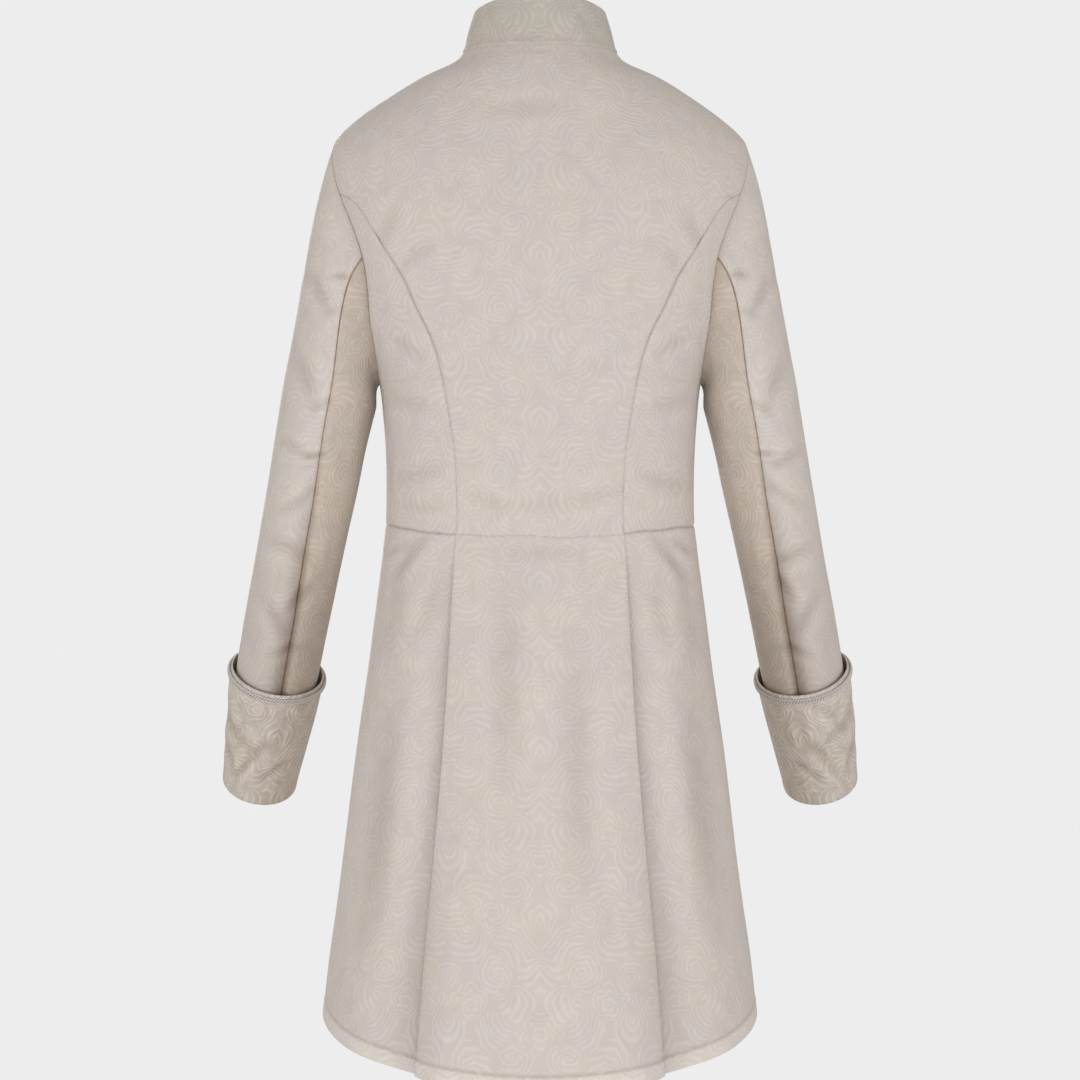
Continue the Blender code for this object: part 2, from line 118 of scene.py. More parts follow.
sky = bpy.data.worlds.new("studio")
sky.use_nodes = True
bpy.context.scene.world = sky
tree = sky.node_tree
tree.nodes.clear()
seen = add(tree, "ShaderNodeBackground", {"Color": linear(GROUND), "Strength": 1.0})
fill = add(tree, "ShaderNodeBackground", {"Color": linear(FILL), "Strength": 0.56})
path = add(tree, "ShaderNodeLightPath")
both = add(tree, "ShaderNodeMixShader", {0: path["Is Camera Ray"], 1: fill[0], 2: seen[0]})
add(tree, "ShaderNodeOutputWorld", {"Surface": both[0]})

SOFTBOXES = (
    # name, place in metres, width, height, watts, colour
    ("key", (0.0, 3.2, -0.9), 1.6, 1.6, 23, "f8fbff"),
    ("left", (2.5, 2.2, -0.85), 1.6, 1.6, 28, "fafbff"),
    ("right", (-2.5, 2.2, -0.85), 1.6, 1.6, 28, "fafbff"),
    ("front_side", (0.6, -3.0, 0.2), 1.8, 1.8, 40, "fffcfa"),
    ("top", (0, 0.6, 2.4), 1.8, 1.8, 3, "ffffff"),
)
for name, place, width, height, watts, colour in SOFTBOXES:
    light = bpy.data.lights.new(name, "AREA")
    light.shape = "RECTANGLE"
    light.size = width
    light.size_y = height
    light.energy = watts
    light.color = linear(colour)[:3]
    lamp = linked(name, light)
    lamp.location = place
    lamp.rotation_euler = Vector(np.subtract(AIM, place)).to_track_quat("-Z", "Y").to_euler()


# The brocade: a figured ivory silk and cotton. Satin lines of peonies, palmettes, plumes and leaves stand
# a little proud of a dull ribbed ground, mirrored about centre back. It is darker and warmer on cuffs, and
# on the under-sleeves as painted shade. The wrong side is dull brown, and so is the painted shade in seams.
IVORY_GROUND = "cec6be"
IVORY_FIGURE = "d7d0ca"
# The under sleeves' ivory, darker and warmer: painted shade, as they face away from the light.
UNDER_GROUND = "c3b7aa"
UNDER_FIGURE = "cfc4b8"
TURNED_GROUND = "c9bfb3"
TURNED_FIGURE = "ddd4ca"
# The wrong side's browns, also painted on the face and rims along seams as painted shade.
WRONG_GROUND = "b39e8b"
WRONG_FIGURE = "a8927f"
# The warm dark tint of the painted shade in creases, seams and valleys.
PAINTED_SHADE_TINT = "9a8470"
WARM_WEFT = "fffefb"
COOL_WEFT = "fcfbfe"
REPEAT_WIDTH = 176.0
REPEAT_HEIGHT = 158.0
LINE_SPACING = 5.0
WAVER = 10.0
PETALS = 5
RIB_CLEARANCE = 0.36
# How wide and how high the threads, the crumples and the patches of colour are.
THREADS = (1.1 / 0.35, 1.1)
CRUMPLES = (17, 21)
PATCHES = (42, 36)
MOTIFS = (
    # how close its rings lie, its ribs, how deep its petals are cut, how far off its foot lies
    ("peony", 1.0, 0, 1.0, 2),
    ("palmette", 0.5, 14, 0.2, 17),
    ("plume", 1.05, 3, 0.1, 24),
    ("scroll", 1.05, 2, 0.2, 5),
    ("leaf", 0.62, 12, 0.1, 13),
)
# What the colour ramps, which hold the motifs and their layout, count as 1.
MOST_RIBS = 32
MOST_FOOT = 32
WIDEST = 32
LAYOUT = (
    # column and row of the half repeat, motif, size, turn in degrees
    (0, 0, "peony", 23, 0), (2, 0, "plume", 19, 120), (4, 0, "palmette", 22, 180),
    (1, 1, "leaf", 18, 215), (3, 1, "peony", 21, 40),
    (0, 2, "palmette", 21, 180), (2, 2, "scroll", 20, 75), (4, 2, "scroll", 15, 0),
    (1, 3, "plume", 20, 310), (3, 3, "leaf", 19, 150),
    (0, 4, "leaf", 17, 0), (2, 4, "peony", 22, 200), (4, 4, "plume", 20, 180),
    (1, 5, "scroll", 17, 250), (3, 5, "palmette", 20, 330),
)
CELLS_ACROSS = 4
CELLS_DOWN = 6


def brocade(name, ground, figure, relief, crumple):
    """Woven brocade, its threads upright in the piece's UV map, which is in metres.

    The half repeat is a chequer of cells. In each one a motif is drawn in rings and ribs about its
    foot, all the lines together as one wave, and cut to its outline. relief is how high the figure
    stands and crumple how high the cloth's own unevenness is, in millimetres.
    """
    cloth, tree = empty_material(name)
    math_node, vector_node, noise = "ShaderNodeMath", "ShaderNodeVectorMath", "ShaderNodeTexNoise"
    uv = add(tree, "ShaderNodeUVMap", uv_map="cloth")[0]
    flat = add(tree, vector_node, {0: uv, 1: (1 / MM, 1 / MM, 0)}, operation="MULTIPLY")[0]
    across = add(tree, "ShaderNodeSeparateXYZ", {0: flat})
    mirrored = add(tree, math_node, {0: across[0], 1: REPEAT_WIDTH / 2}, operation="PINGPONG")[0]
    # The drawing wavers a little, on a drum as long round as the repeat so that it closes.
    turn = 2 * math.pi / REPEAT_HEIGHT
    upwards, wide = (add(tree, math_node, {0: way, 1: turn}, operation="MULTIPLY")[0]
                     for way in (across[1], mirrored))
    sine, cosine = (add(tree, math_node, {0: upwards}, operation=wave)[0] for wave in ("SINE", "COSINE"))
    drum = add(tree, "ShaderNodeCombineXYZ", {0: wide, 1: sine, 2: cosine})[0]
    drift = add(tree, noise, {"Vector": drum, "Scale": 1.5, "Detail": 1.0})["Color"]
    centred = add(tree, vector_node, {0: drift, 1: (0.5, 0.5, 0.5)}, operation="SUBTRACT")[0]
    upright = add(tree, "ShaderNodeCombineXYZ", {0: mirrored, 1: across[1]})[0]
    wavered = add(tree, vector_node, {0: centred, 1: (WAVER, WAVER, 0)}, operation="MULTIPLY")[0]
    sheet = add(tree, vector_node, {0: wavered, 1: upright}, operation="ADD")[0]

    # The nearer cell of the chequer, and the place in it from its middle.
    half = (REPEAT_WIDTH / 2 / CELLS_ACROSS, REPEAT_HEIGHT / CELLS_DOWN, 1)
    low = (-half[0], -half[1], -1)
    moved = add(tree, vector_node, {0: sheet, 1: (half[0], half[1], 0)}, operation="ADD")[0]
    even, odd = (add(tree, vector_node, {0: start, 1: half, 2: low}, operation="WRAP")[0]
                 for start in (sheet, moved))
    even_far, odd_far = (add(tree, vector_node, {0: cell}, operation="LENGTH")["Value"]
                         for cell in (even, odd))
    nearer = add(tree, math_node, {0: odd_far, 1: even_far}, operation="LESS_THAN")[0]
    place = add(tree, "ShaderNodeMix", {0: nearer, 4: even, 5: odd}, data_type="VECTOR")[1]
    far = add(tree, math_node, {0: even_far, 1: odd_far}, operation="MINIMUM")[0]

    # Which motif the cell holds, by its column and row in the layout.
    middle = add(tree, vector_node, {0: sheet, 1: place}, operation="SUBTRACT")[0]
    counted = add(tree, vector_node, {0: middle, 1: (1 / half[0], 1 / half[1], 0), 2: (0.5, 0.5, 0)},
                  operation="MULTIPLY_ADD")[0]
    whole = add(tree, vector_node, {0: counted}, operation="FLOOR")[0]
    wrapped = add(tree, vector_node, {0: whole, 1: (99, CELLS_DOWN, 1), 2: (-99, 0, 0)}, operation="WRAP")[0]
    cell = add(tree, "ShaderNodeSeparateXYZ", {0: wrapped})
    column = add(tree, math_node, {0: cell[0], 1: CELLS_ACROSS}, operation="PINGPONG")[0]
    number = add(tree, math_node, {0: cell[1], 1: CELLS_ACROSS + 1, 2: column}, operation="MULTIPLY_ADD")[0]
    cells = (CELLS_ACROSS + 1) * CELLS_DOWN
    share = add(tree, math_node, {0: number, 1: 1 / cells, 2: 0.5 / cells}, operation="MULTIPLY_ADD")[0]
    names = [row[0] for row in MOTIFS]
    chart = [(number / cells, ((names.index(motif) + 0.5) / len(names), size / WIDEST, turn / 360, 1))
             for number, motif, size, turn in
             sorted((row * (CELLS_ACROSS + 1) + column, motif, size, turn)
                    for column, row, motif, size, turn in LAYOUT)]
    drawing = [(i / len(MOTIFS), (rings, ribs / MOST_RIBS, lobes, foot / MOST_FOOT))
               for i, (_, rings, ribs, lobes, foot) in enumerate(MOTIFS)]
    layout = add(tree, "ShaderNodeValToRGB", {0: share})
    held = add(tree, "ShaderNodeSeparateXYZ", {0: layout[0]})
    kinds = add(tree, "ShaderNodeValToRGB", {0: held[0]})
    for outputs, stops in ((layout, chart), (kinds, drawing)):
        ramp = outputs[0].node.color_ramp
        ramp.interpolation = "CONSTANT"
        while len(ramp.elements) < len(stops):
            ramp.elements.new(0.999)
        for stop, (position, colour) in zip(ramp.elements, stops):
            stop.position = position
        for stop, (position, colour) in zip(ramp.elements, stops):
            stop.color = colour
    kind = add(tree, "ShaderNodeSeparateXYZ", {0: kinds[0]})
    size, facing, sunk, ribs = (
        add(tree, math_node, {0: value, 1: most}, operation="MULTIPLY")[0]
        for value, most in ((held[1], WIDEST), (held[2], 2 * math.pi), (kinds[1], MOST_FOOT),
                            (kind[1], MOST_RIBS)))

    # The motif's rings, with petals cut into them, and its ribs.
    turned = add(tree, "ShaderNodeVectorRotate", {"Vector": place, "Angle": facing},
                 rotation_type="Z_AXIS")[0]
    foot = add(tree, "ShaderNodeCombineXYZ", {1: sunk})[0]
    from_foot = add(tree, vector_node, {0: turned, 1: foot}, operation="ADD")[0]
    arms = add(tree, "ShaderNodeSeparateXYZ", {0: from_foot})
    bearing = add(tree, math_node, {0: arms[0], 1: arms[1]}, operation="ARCTAN2")[0]
    stretch = add(tree, vector_node, {0: from_foot}, operation="LENGTH")["Value"]
    petals = bearing
    for operation, numbers in (("MULTIPLY", {1: PETALS / 2}), ("SINE", {}), ("ABSOLUTE", {}),
                               ("MULTIPLY_ADD", {1: -0.36, 2: 0.2})):
        petals = add(tree, math_node, {0: petals, **numbers}, operation=operation)[0]
    lobe = add(tree, math_node, {0: petals, 1: kind[2], 2: 1.0}, operation="MULTIPLY_ADD")[0]
    rings = stretch
    for factor in (lobe, 2 * math.pi / LINE_SPACING, kind[0]):
        rings = add(tree, math_node, {0: rings, 1: factor}, operation="MULTIPLY")[0]
    phase = add(tree, math_node, {0: ribs, 1: bearing, 2: rings}, operation="MULTIPLY_ADD")[0]
    wave = add(tree, math_node, {0: phase}, operation="COSINE")[0]
    # Ribs stop short of the foot, where they would crowd, and all lines at the motif's outline.
    crowd = add(tree, math_node, {0: ribs, 1: RIB_CLEARANCE}, operation="MULTIPLY")[0]
    clear = add(tree, math_node, {0: stretch, 1: crowd}, operation="SUBTRACT")[0]
    edge = add(tree, math_node, {0: far, 1: lobe}, operation="MULTIPLY")[0]
    edge = add(tree, math_node, {0: size, 1: edge}, operation="SUBTRACT")[0]
    motif = 1.0
    for value, low, high in ((wave, -0.5, 1.1), (edge, 0.0, 2.0), (clear, -1.5, 1.5)):
        step = add(tree, "ShaderNodeMapRange", {"Value": value, "From Min": low, "From Max": high},
                   interpolation_type="SMOOTHSTEP")[0]
        motif = add(tree, math_node, {0: motif, 1: step}, operation="MULTIPLY")[0]

    # Threads too fine to show from here, drawn about twice as coarse as they are, then slow crumples
    # from handling, and patches of a warmer and a cooler ivory, as the two wefts share the face unevenly.
    slub, soft, slow = (
        add(tree, "ShaderNodeMapping", {0: flat, "Scale": (1 / wide, 1 / high, 1), "Location": shift})[0]
        for wide, high, shift in ((*THREADS, (0, 0, 0)), (*CRUMPLES, (0, 0, 0)), (*PATCHES, (3, 8, 0))))
    threads = add(tree, noise, {"Vector": slub, "Scale": 1.0, "Detail": 2.0})[0]
    # The crumples' noise also paints shade: darker in their troughs, lighter on their crests.
    crumple_noise = add(tree, noise, {"Vector": soft, "Scale": 1.0, "Detail": 2.5, "Distortion": 0.6})[0]
    patches = add(tree, noise, {"Vector": slow, "Scale": 1.0, "Detail": 2.0})[0]
    raised = add(tree, math_node, {0: threads, 1: 0.3, 2: motif}, operation="MULTIPLY_ADD")[0]
    bump = add(tree, "ShaderNodeBump", {"Height": crumple_noise, "Distance": crumple * MM, "Strength": 1.0})[0]
    bump = add(tree, "ShaderNodeBump", {"Height": raised, "Distance": relief * MM, "Strength": 1.0,
                                        "Normal": bump})[0]
    tone = add(tree, math_node, {0: threads, 1: 0.5, 2: -0.1}, operation="MULTIPLY_ADD")[0]
    tone = add(tree, math_node, {0: motif, 1: 0.7, 2: tone}, operation="MULTIPLY_ADD", use_clamp=True)[0]
    # Painted shade: hollows are painted darker and warmer than the cloth about them, as light passes to and
    # fro.
    hollow = add(tree, "ShaderNodeAttribute", attribute_name="hollow")["Fac"]
    # Ridges and the turned hem get a painted highlight, lighter where hollow is below 0.
    patches, crumple_shade, ridge, gloss = (
        add(tree, "ShaderNodeMapRange", {"Value": value, "From Min": low, "From Max": high, "To Min": start,
                                         "To Max": end})[0]
        for value, low, high, start, end in (
            (patches, 0.35, 0.65, 0.0, 1.0), (crumple_noise, 0.32, 0.68, 1 - 0.05 * crumple, 1 + 0.03 * crumple),
            (hollow, -0.5, 0.0, 1.2, 1.0), (motif, 0.0, 1.0, 0.66, 0.52)))
    colour, shot, deep = (
        add(tree, "ShaderNodeMix", {0: share, 6: linear(first), 7: linear(second)}, data_type="RGBA")[2]
        for share, first, second in ((tone, ground, figure), (patches, WARM_WEFT, COOL_WEFT),
                                     (hollow, "ffffff", PAINTED_SHADE_TINT)))
    for layer in (shot, crumple_shade, deep, ridge):
        colour = add(tree, "ShaderNodeMix", {0: 1.0, 6: colour, 7: layer}, data_type="RGBA",
                     blend_type="MULTIPLY")[2]
    surface = add(tree, "ShaderNodeBsdfPrincipled", {
        "Base Color": colour, "Roughness": gloss, "Normal": bump, "Sheen Weight": 0.1,
        "Sheen Roughness": 0.45, "Specular IOR Level": 0.35})[0]
    add(tree, "ShaderNodeOutputMaterial", {"Surface": surface})
    return cloth


ivory_brocade = brocade("ivory_brocade", IVORY_GROUND, IVORY_FIGURE, 0.2, 0.7)
# A darker, warmer copy for the under sleeves: painted shade.
shaded_under_brocade = brocade("shaded_under_brocade", UNDER_GROUND, UNDER_FIGURE, 0.3, 1.4)
turned_brocade = brocade("turned_brocade", TURNED_GROUND, TURNED_FIGURE, 0.5, 2.4)
wrong_side_and_seam_shade = brocade("brocade_wrong_side_and_seam_shade", WRONG_GROUND, WRONG_FIGURE, 0.1, 1.0)


# The bodice backs: a centre back cut in one and two side backs, joined in long princess seams that run
# from the armholes to the waist. Each is a single layer of brocade whose edges turn under at its seams.
CLOTH = 2.0
SEAM_GAP = 0.3
JOIN = 0.1
GRID = 3.6
SEAM_LEVELS = np.array((JOIN / 2, 0.7, 1.4, 2.3, 3.4, 5.0))
SEAM_STEPS = np.array((0, 0.7, 1.5, 2.5, 3.7, 5.2))
SEAM_DROP = 1.5
SEAM_REACH = 4.5
SEAM_CALM = (150, 270)
SEAM_SHADOW = 0.22
SEAM_SHADOW_WIDTH = 1.6
PRESSED = 0.3
PUCKER = 13.0
# How much of a crease's depth is painted as shade.
CREASE_SHADE_SHARE = 0.12
WAIST_DOWN = 471
HEM_DOWN = 951
BODY_COLUMNS = ("down", "half_width", "back", "front", "squareness", "back_down", "front_down", "swing")
BODY_RINGS = (
    (0, 76.5, 62, 66, 2.00, 2, 72, 2),
    (10, 85, 70, 75, 2.05, 14, 82, 2),
    (26, 118.5, 80, 86, 2.10, 34, 99, 2),
    (46, 151.5, 90, 96, 2.20, 63, 121, 2),
    (66, 180, 97, 104, 2.25, 90, 142, 2),
    (88, 203, 103, 111, 2.35, 116, 163, 2),
    (116, 212, 108, 116, 2.45, 143, 184, 2),
    (148, 209.5, 111, 119, 2.55, 169, 204, 2),
    (180, 201, 113, 121, 2.60, 194, 223, 2),
    (209, 193.5, 113, 122, 2.60, 219, 243, 2),
    (240, 187, 112, 123, 2.60, 246, 266, 2),
    (270, 180, 111, 123, 2.60, 275, 291, 2),
    (300, 169, 109, 122, 2.55, 304, 316, 2),
    (330, 160.5, 107, 121, 2.50, 335, 343, 2),
    (366, 156.5, 104, 119, 2.45, 372, 375, 2),
    (406, 154, 100, 116, 2.40, 414, 412, 2),
    (440, 153.5, 98, 113, 2.35, 450, 444, 2),
    (471, 154, 98, 112, 2.35, 483, 476, 2),
    (500, 157, 103, 115, 2.35, 513, 506, 1.9),
    (546, 162.5, 112, 120, 2.30, 562, 554, 1.8),
    (606, 170.5, 126, 128, 2.25, 626, 616, 1.7),
    (686, 181.5, 145, 140, 2.20, 712, 698, 1.6),
    (766, 191.5, 165, 152, 2.15, 797, 780, 1.5),
    (846, 202, 184, 166, 2.10, 883, 861, 1.4),
    (900, 210, 197, 176, 2.10, 940, 916, 1.35),
    (951, 216, 209, 186, 2.10, 990, 968, 1.3),
)
ARMHOLE_TOP = 88
ARMHOLE_BOTTOM = 330
ARMHOLE_MIDDLE = (ARMHOLE_TOP + ARMHOLE_BOTTOM) / 2
ARMHOLE_HALF = (ARMHOLE_BOTTOM - ARMHOLE_TOP) / 2
ARMHOLE_BACK_CUT = 33
ARMHOLE_FRONT_CUT = 36
ARMHOLE_ENDS = np.array((2, 4, 6.5, 9, 12, 15, 165, 168, 171, 173.5, 176, 178))
PRINCESS_START = 57
PRINCESS_SEAM = (
    # down and out
    (143.5, 193.5), (147, 186), (153, 179), (161, 173), (172, 166.5), (188, 157.5), (210, 144), (227, 134),
    (256, 121), (287, 106), (313, 97.5), (340, 92), (368, 87), (389, 83.5), (416, 81.5), (450, 80.6),
    (471, 80.6),
)


def between(start, leave, end, arrive, t):
    """A smooth run from start to end, by how it leaves the one and arrives at the other."""
    return (start * (1 + 2 * t) * (1 - t) ** 2 + leave * t * (1 - t) ** 2
            + end * t * t * (3 - 2 * t) - arrive * t * t * (1 - t))


def curves(columns, rows):
    """Turn a table into smooth curves. The result gives one named column at places along the first."""
    table = np.array(rows, dtype=float)
    keys = table[:, 0]
    slopes = np.gradient(table, keys, axis=0)

    def value(name, key):
        column = columns.index(name)
        i = np.clip(np.searchsorted(keys, key) - 1, 0, len(keys) - 2)
        span = keys[i + 1] - keys[i]
        return between(table[i, column], slopes[i, column] * span, table[i + 1, column],
                       slopes[i + 1, column] * span, (key - keys[i]) / span)

    return value


body = curves(BODY_COLUMNS, BODY_RINGS)
princess = curves(("down", "out"), PRINCESS_SEAM)


def ease(value):
    """A soft step from 0 to 1."""
    t = np.clip(value, 0, 1)
    return t * t * (3 - 2 * t)


def unit(vectors):
    """The same directions, each of length 1."""
    return vectors / np.maximum(np.linalg.norm(vectors, axis=-1, keepdims=True), 1e-9)


def rounded(angle, half_width, depth, squareness):
    """A point of a ring between an ellipse, at squareness 2, and a box."""
    side, centre = np.sin(angle), np.cos(angle)
    reach = (abs(side) ** squareness + abs(centre) ** squareness) ** (-1 / squareness)
    return half_width * side * reach, depth * centre * reach


def body_face(angle, down):
    """The coat's outer face. Angle 0 is centre back, 90 degrees the left side and 180 centre front."""
    behind = np.cos(angle) >= 0
    depth = np.where(behind, body("back", down), body("front", down))
    x, y = rounded(angle, body("half_width", down), depth, body("squareness", down))
    middle = np.where(behind, body("back_down", down), body("front_down", down))
    level = down + (middle - down) * abs(np.cos(angle)) ** body("swing", down)
    return np.stack(np.broadcast_arrays(x, y, -level), axis=-1)


def body_normal(angle, down):
    """The way that the coat's outer face looks."""
    held = np.clip(down, 0.6, HEM_DOWN - 0.6)
    along = body_face(angle + 0.004, held) - body_face(angle - 0.004, held)
    below = body_face(angle, held + 0.5) - body_face(angle, held - 0.5)
    return unit(np.cross(along, below))


def angle_at(down, out, front=False):
    """The angle of the ring where it is so far out from the centre line."""
    power = body("squareness", down)
    share = np.minimum(out / body("half_width", down), 1.0)
    angle = np.arctan2(share, (1 - share ** power) ** (1 / power))
    return math.pi - angle if front else angle


def armhole_down(station):
    """The level of a station of the armhole: 0 is its top, 180 its bottom, and its front is below 0."""
    return ARMHOLE_MIDDLE - ARMHOLE_HALF * np.cos(np.radians(station))


def armhole_angle(station):
    """The angle of a station of the armhole, which is cut in from the side."""
    cut = np.sin(np.radians(station))
    return np.radians(90 - np.where(cut > 0, ARMHOLE_BACK_CUT, ARMHOLE_FRONT_CUT) * cut)


def armhole_edge(down, front):
    """The armhole's angle at a level, or the shoulder and side seams above and below it."""
    station = np.degrees(np.arccos(np.clip((ARMHOLE_MIDDLE - down) / ARMHOLE_HALF, -1, 1)))
    return armhole_angle(-station if front else station)


def levels(*stops):
    """Levels from stop to stop, closer together at each stop that is given as a seam."""
    found = []
    for (start, start_seam), (end, end_seam) in zip(stops, stops[1:]):
        first = start + SEAM_LEVELS if start_seam else np.array((start,))
        last = end - SEAM_LEVELS[::-1] if end_seam else np.array((end,))
        count = max(int(round((last[0] - first[-1]) / GRID)), 1)
        found += [first, np.linspace(first[-1], last[0], count + 1)[1:-1], last]
    return np.unique(np.round(np.concatenate(found), 4))


def armhole_levels(first=0, last=180):
    """Closer levels where the armhole's edge runs nearly level."""
    return armhole_down(ARMHOLE_ENDS[(ARMHOLE_ENDS > first) & (ARMHOLE_ENDS < last)])


def spread(runs, count):
    """Shares of each run from seam to seam: even in the middle and closer together at both ends."""
    runs = np.maximum(runs, 0.01)[:, None]
    ends = SEAM_STEPS * np.minimum(1, runs / (4 * SEAM_STEPS[-1])) / runs
    inner = np.linspace(0, 1, count + 1)[1:-1]
    middle = ends[:, -1:] + (1 - 2 * ends[:, -1:]) * inner
    return np.concatenate([ends, middle, 1 - ends[:, ::-1]], axis=1)


def body_places(first, last, downs, count):
    """Angles across each ring from one edge to the other, half a join inside them."""
    share = np.linspace(0, 1, 61)
    angles = first[:, None] + (last - first)[:, None] * share
    rings = body_face(angles, downs[:, None])
    runs = np.cumsum(np.linalg.norm(np.diff(rings, axis=1), axis=2), axis=1)
    runs = np.concatenate([np.zeros((len(downs), 1)), runs], axis=1)
    wanted = JOIN / 2 + spread(runs[:, -1] - JOIN, count) * (runs[:, -1:] - JOIN)
    return np.stack([np.interp(w, r, a) for w, r, a in zip(wanted, runs, angles)])


def run_along(points, axis):
    """Distance along the rows (1) or columns (0) of a grid of points."""
    steps = np.linalg.norm(np.diff(points, axis=axis), axis=2)
    start = np.zeros_like(steps[:1] if axis == 0 else steps[:, :1])
    return np.concatenate([start, np.cumsum(steps, axis=axis)], axis=axis)


def drawn(points):
    """How much of a seam shows: it is pressed nearly flat in the middle of the back and front."""
    return PRESSED + (1 - PRESSED) * ease((abs(points[..., 0]) - 74) / 34)


def seam_depth(points):
    """Seams also lie flatter over the shoulders, where the cloth is drawn tight."""
    tall = ease((-points[..., 2] - SEAM_CALM[0]) / (SEAM_CALM[1] - SEAM_CALM[0]))
    return SEAM_DROP * (PRESSED + (1 - PRESSED) * tall) * drawn(points)


def from_edges(points):
    """Distance across and down a piece, and in from each of its edges."""
    across, below = run_along(points, 1), run_along(points, 0)
    return across, below, {"first": across, "last": across[:, -1:] - across, "top": below,
                           "bottom": below[-1:] - below}


def seam_shade(points, edges):
    """The soft shadow that lies along a seam."""
    across, below, gone = from_edges(points)
    shown = drawn(points) * (1 + 0.3 * ripple(below + across, PUCKER, 0.9))
    return sum(SEAM_SHADOW * np.exp(-(gone[name] / SEAM_SHADOW_WIDTH) ** 2) * shown for name in edges)


def seam_drops(points, edges):
    """How far the cloth turns down towards its seams, and the small puckers that the stitches draw.

    edges names them among first, last, top and bottom.
    """
    across, below, gone = from_edges(points)
    drop = np.zeros(points.shape[:2])
    for name in edges:
        place = below if name in ("first", "last") else across
        uneven = 1 + 0.16 * ripple(place, PUCKER, 1.3)
        turned = np.clip(1 - gone[name] / SEAM_REACH, 0, 1) ** 2.2 * uneven
        puckers = 0.09 * ripple(place, PUCKER, 0.4) * np.exp(-((gone[name] - 6) / 5) ** 2)
        drop = np.maximum(drop, turned) + puckers
    return -seam_depth(points) * drop


def ripple(place, period, seed):
    """An uneven wave along a length, the same on every run."""
    turn = 2 * math.pi * place / period
    return (np.sin(turn + seed) + 0.6 * np.sin(0.61 * turn + 2.3 * seed)
            + 0.4 * np.sin(1.73 * turn + 4.1 * seed)) / 2


def sway(points):
    """Slow unevenness of hanging cloth over a few centimetres, the same on both sides of a seam."""
    x, y, z = np.moveaxis(points, -1, 0)
    around = x + 0.7 * y
    slow = np.sin(around / 31 + z / 83 + 0.4) * np.sin(z / 47 + 0.7)
    return 0.4 * (slow + 0.6 * np.sin(around / 17 - z / 59 + 1.2))


def folds(points, facing, rows, front=False):
    """Soft troughs, or ridges where the depth is negative, pressed into the cloth.

    Each row is seen square from behind, or from the front: its middle by distance out to the
    wearer's left and down, its turn in degrees from level (out) towards down, its length and
    half width, its depth, and how far it bows.
    """
    x, level = points[..., 0], -points[..., 2]
    seen_side = ease(((-facing if front else facing)[..., 1] + 0.25) / 0.4)
    height = np.zeros(x.shape)
    deepest = 1.15 * max(row[5] for row in rows)
    for out, down, turn, length, width, depth, bow in rows:
        c, s = math.cos(math.radians(turn)), math.sin(math.radians(turn))
        along = ((x - out) * c + (level - down) * s) / (length / 2)
        inside = np.clip(1 - along ** 2, 0, 1)
        off = ((level - down) * c - (x - out) * s - bow * inside) / width
        shape = np.exp(-off ** 2) - 0.32 * (np.exp(-(off - 1.8) ** 2) + np.exp(-(off + 1.8) ** 2))
        height -= depth * inside ** 1.5 * shape
    return np.clip(height, -deepest, deepest) * seen_side


def waist_wave(points, down):
    """The waist seam isn't quite level: it wavers as it was sewn."""
    x, y = points[..., 0], points[..., 1]
    near = np.exp(-((down - WAIST_DOWN) / 14) ** 2)
    return near * (0.9 * np.sin(x / 21 + 0.6) + 0.6 * np.sin(x / 9.3 + y / 15))


def flat_map(points, origin_column, origin_row, start=(0, 0)):
    """The cloth laid flat: distance across from one column, and down from one row of the grid."""
    across, below = run_along(points, 1), run_along(points, 0)
    u = across - across[:, origin_column:origin_column + 1]
    v = below - below[origin_row] - points[origin_row, :, 2]
    return np.stack([u + start[0], -v + start[1]], axis=-1) * MM


def quads(grid):
    """The four corners of each face of a grid."""
    return np.stack([grid[:-1, :-1], grid[:-1, 1:], grid[1:, 1:], grid[1:, :-1]], axis=-1).reshape(-1, 4)


def band(upper, lower):
    """The four corners of each face between two rows."""
    return np.stack([upper[:-1], lower[:-1], lower[1:], upper[1:]], axis=-1)


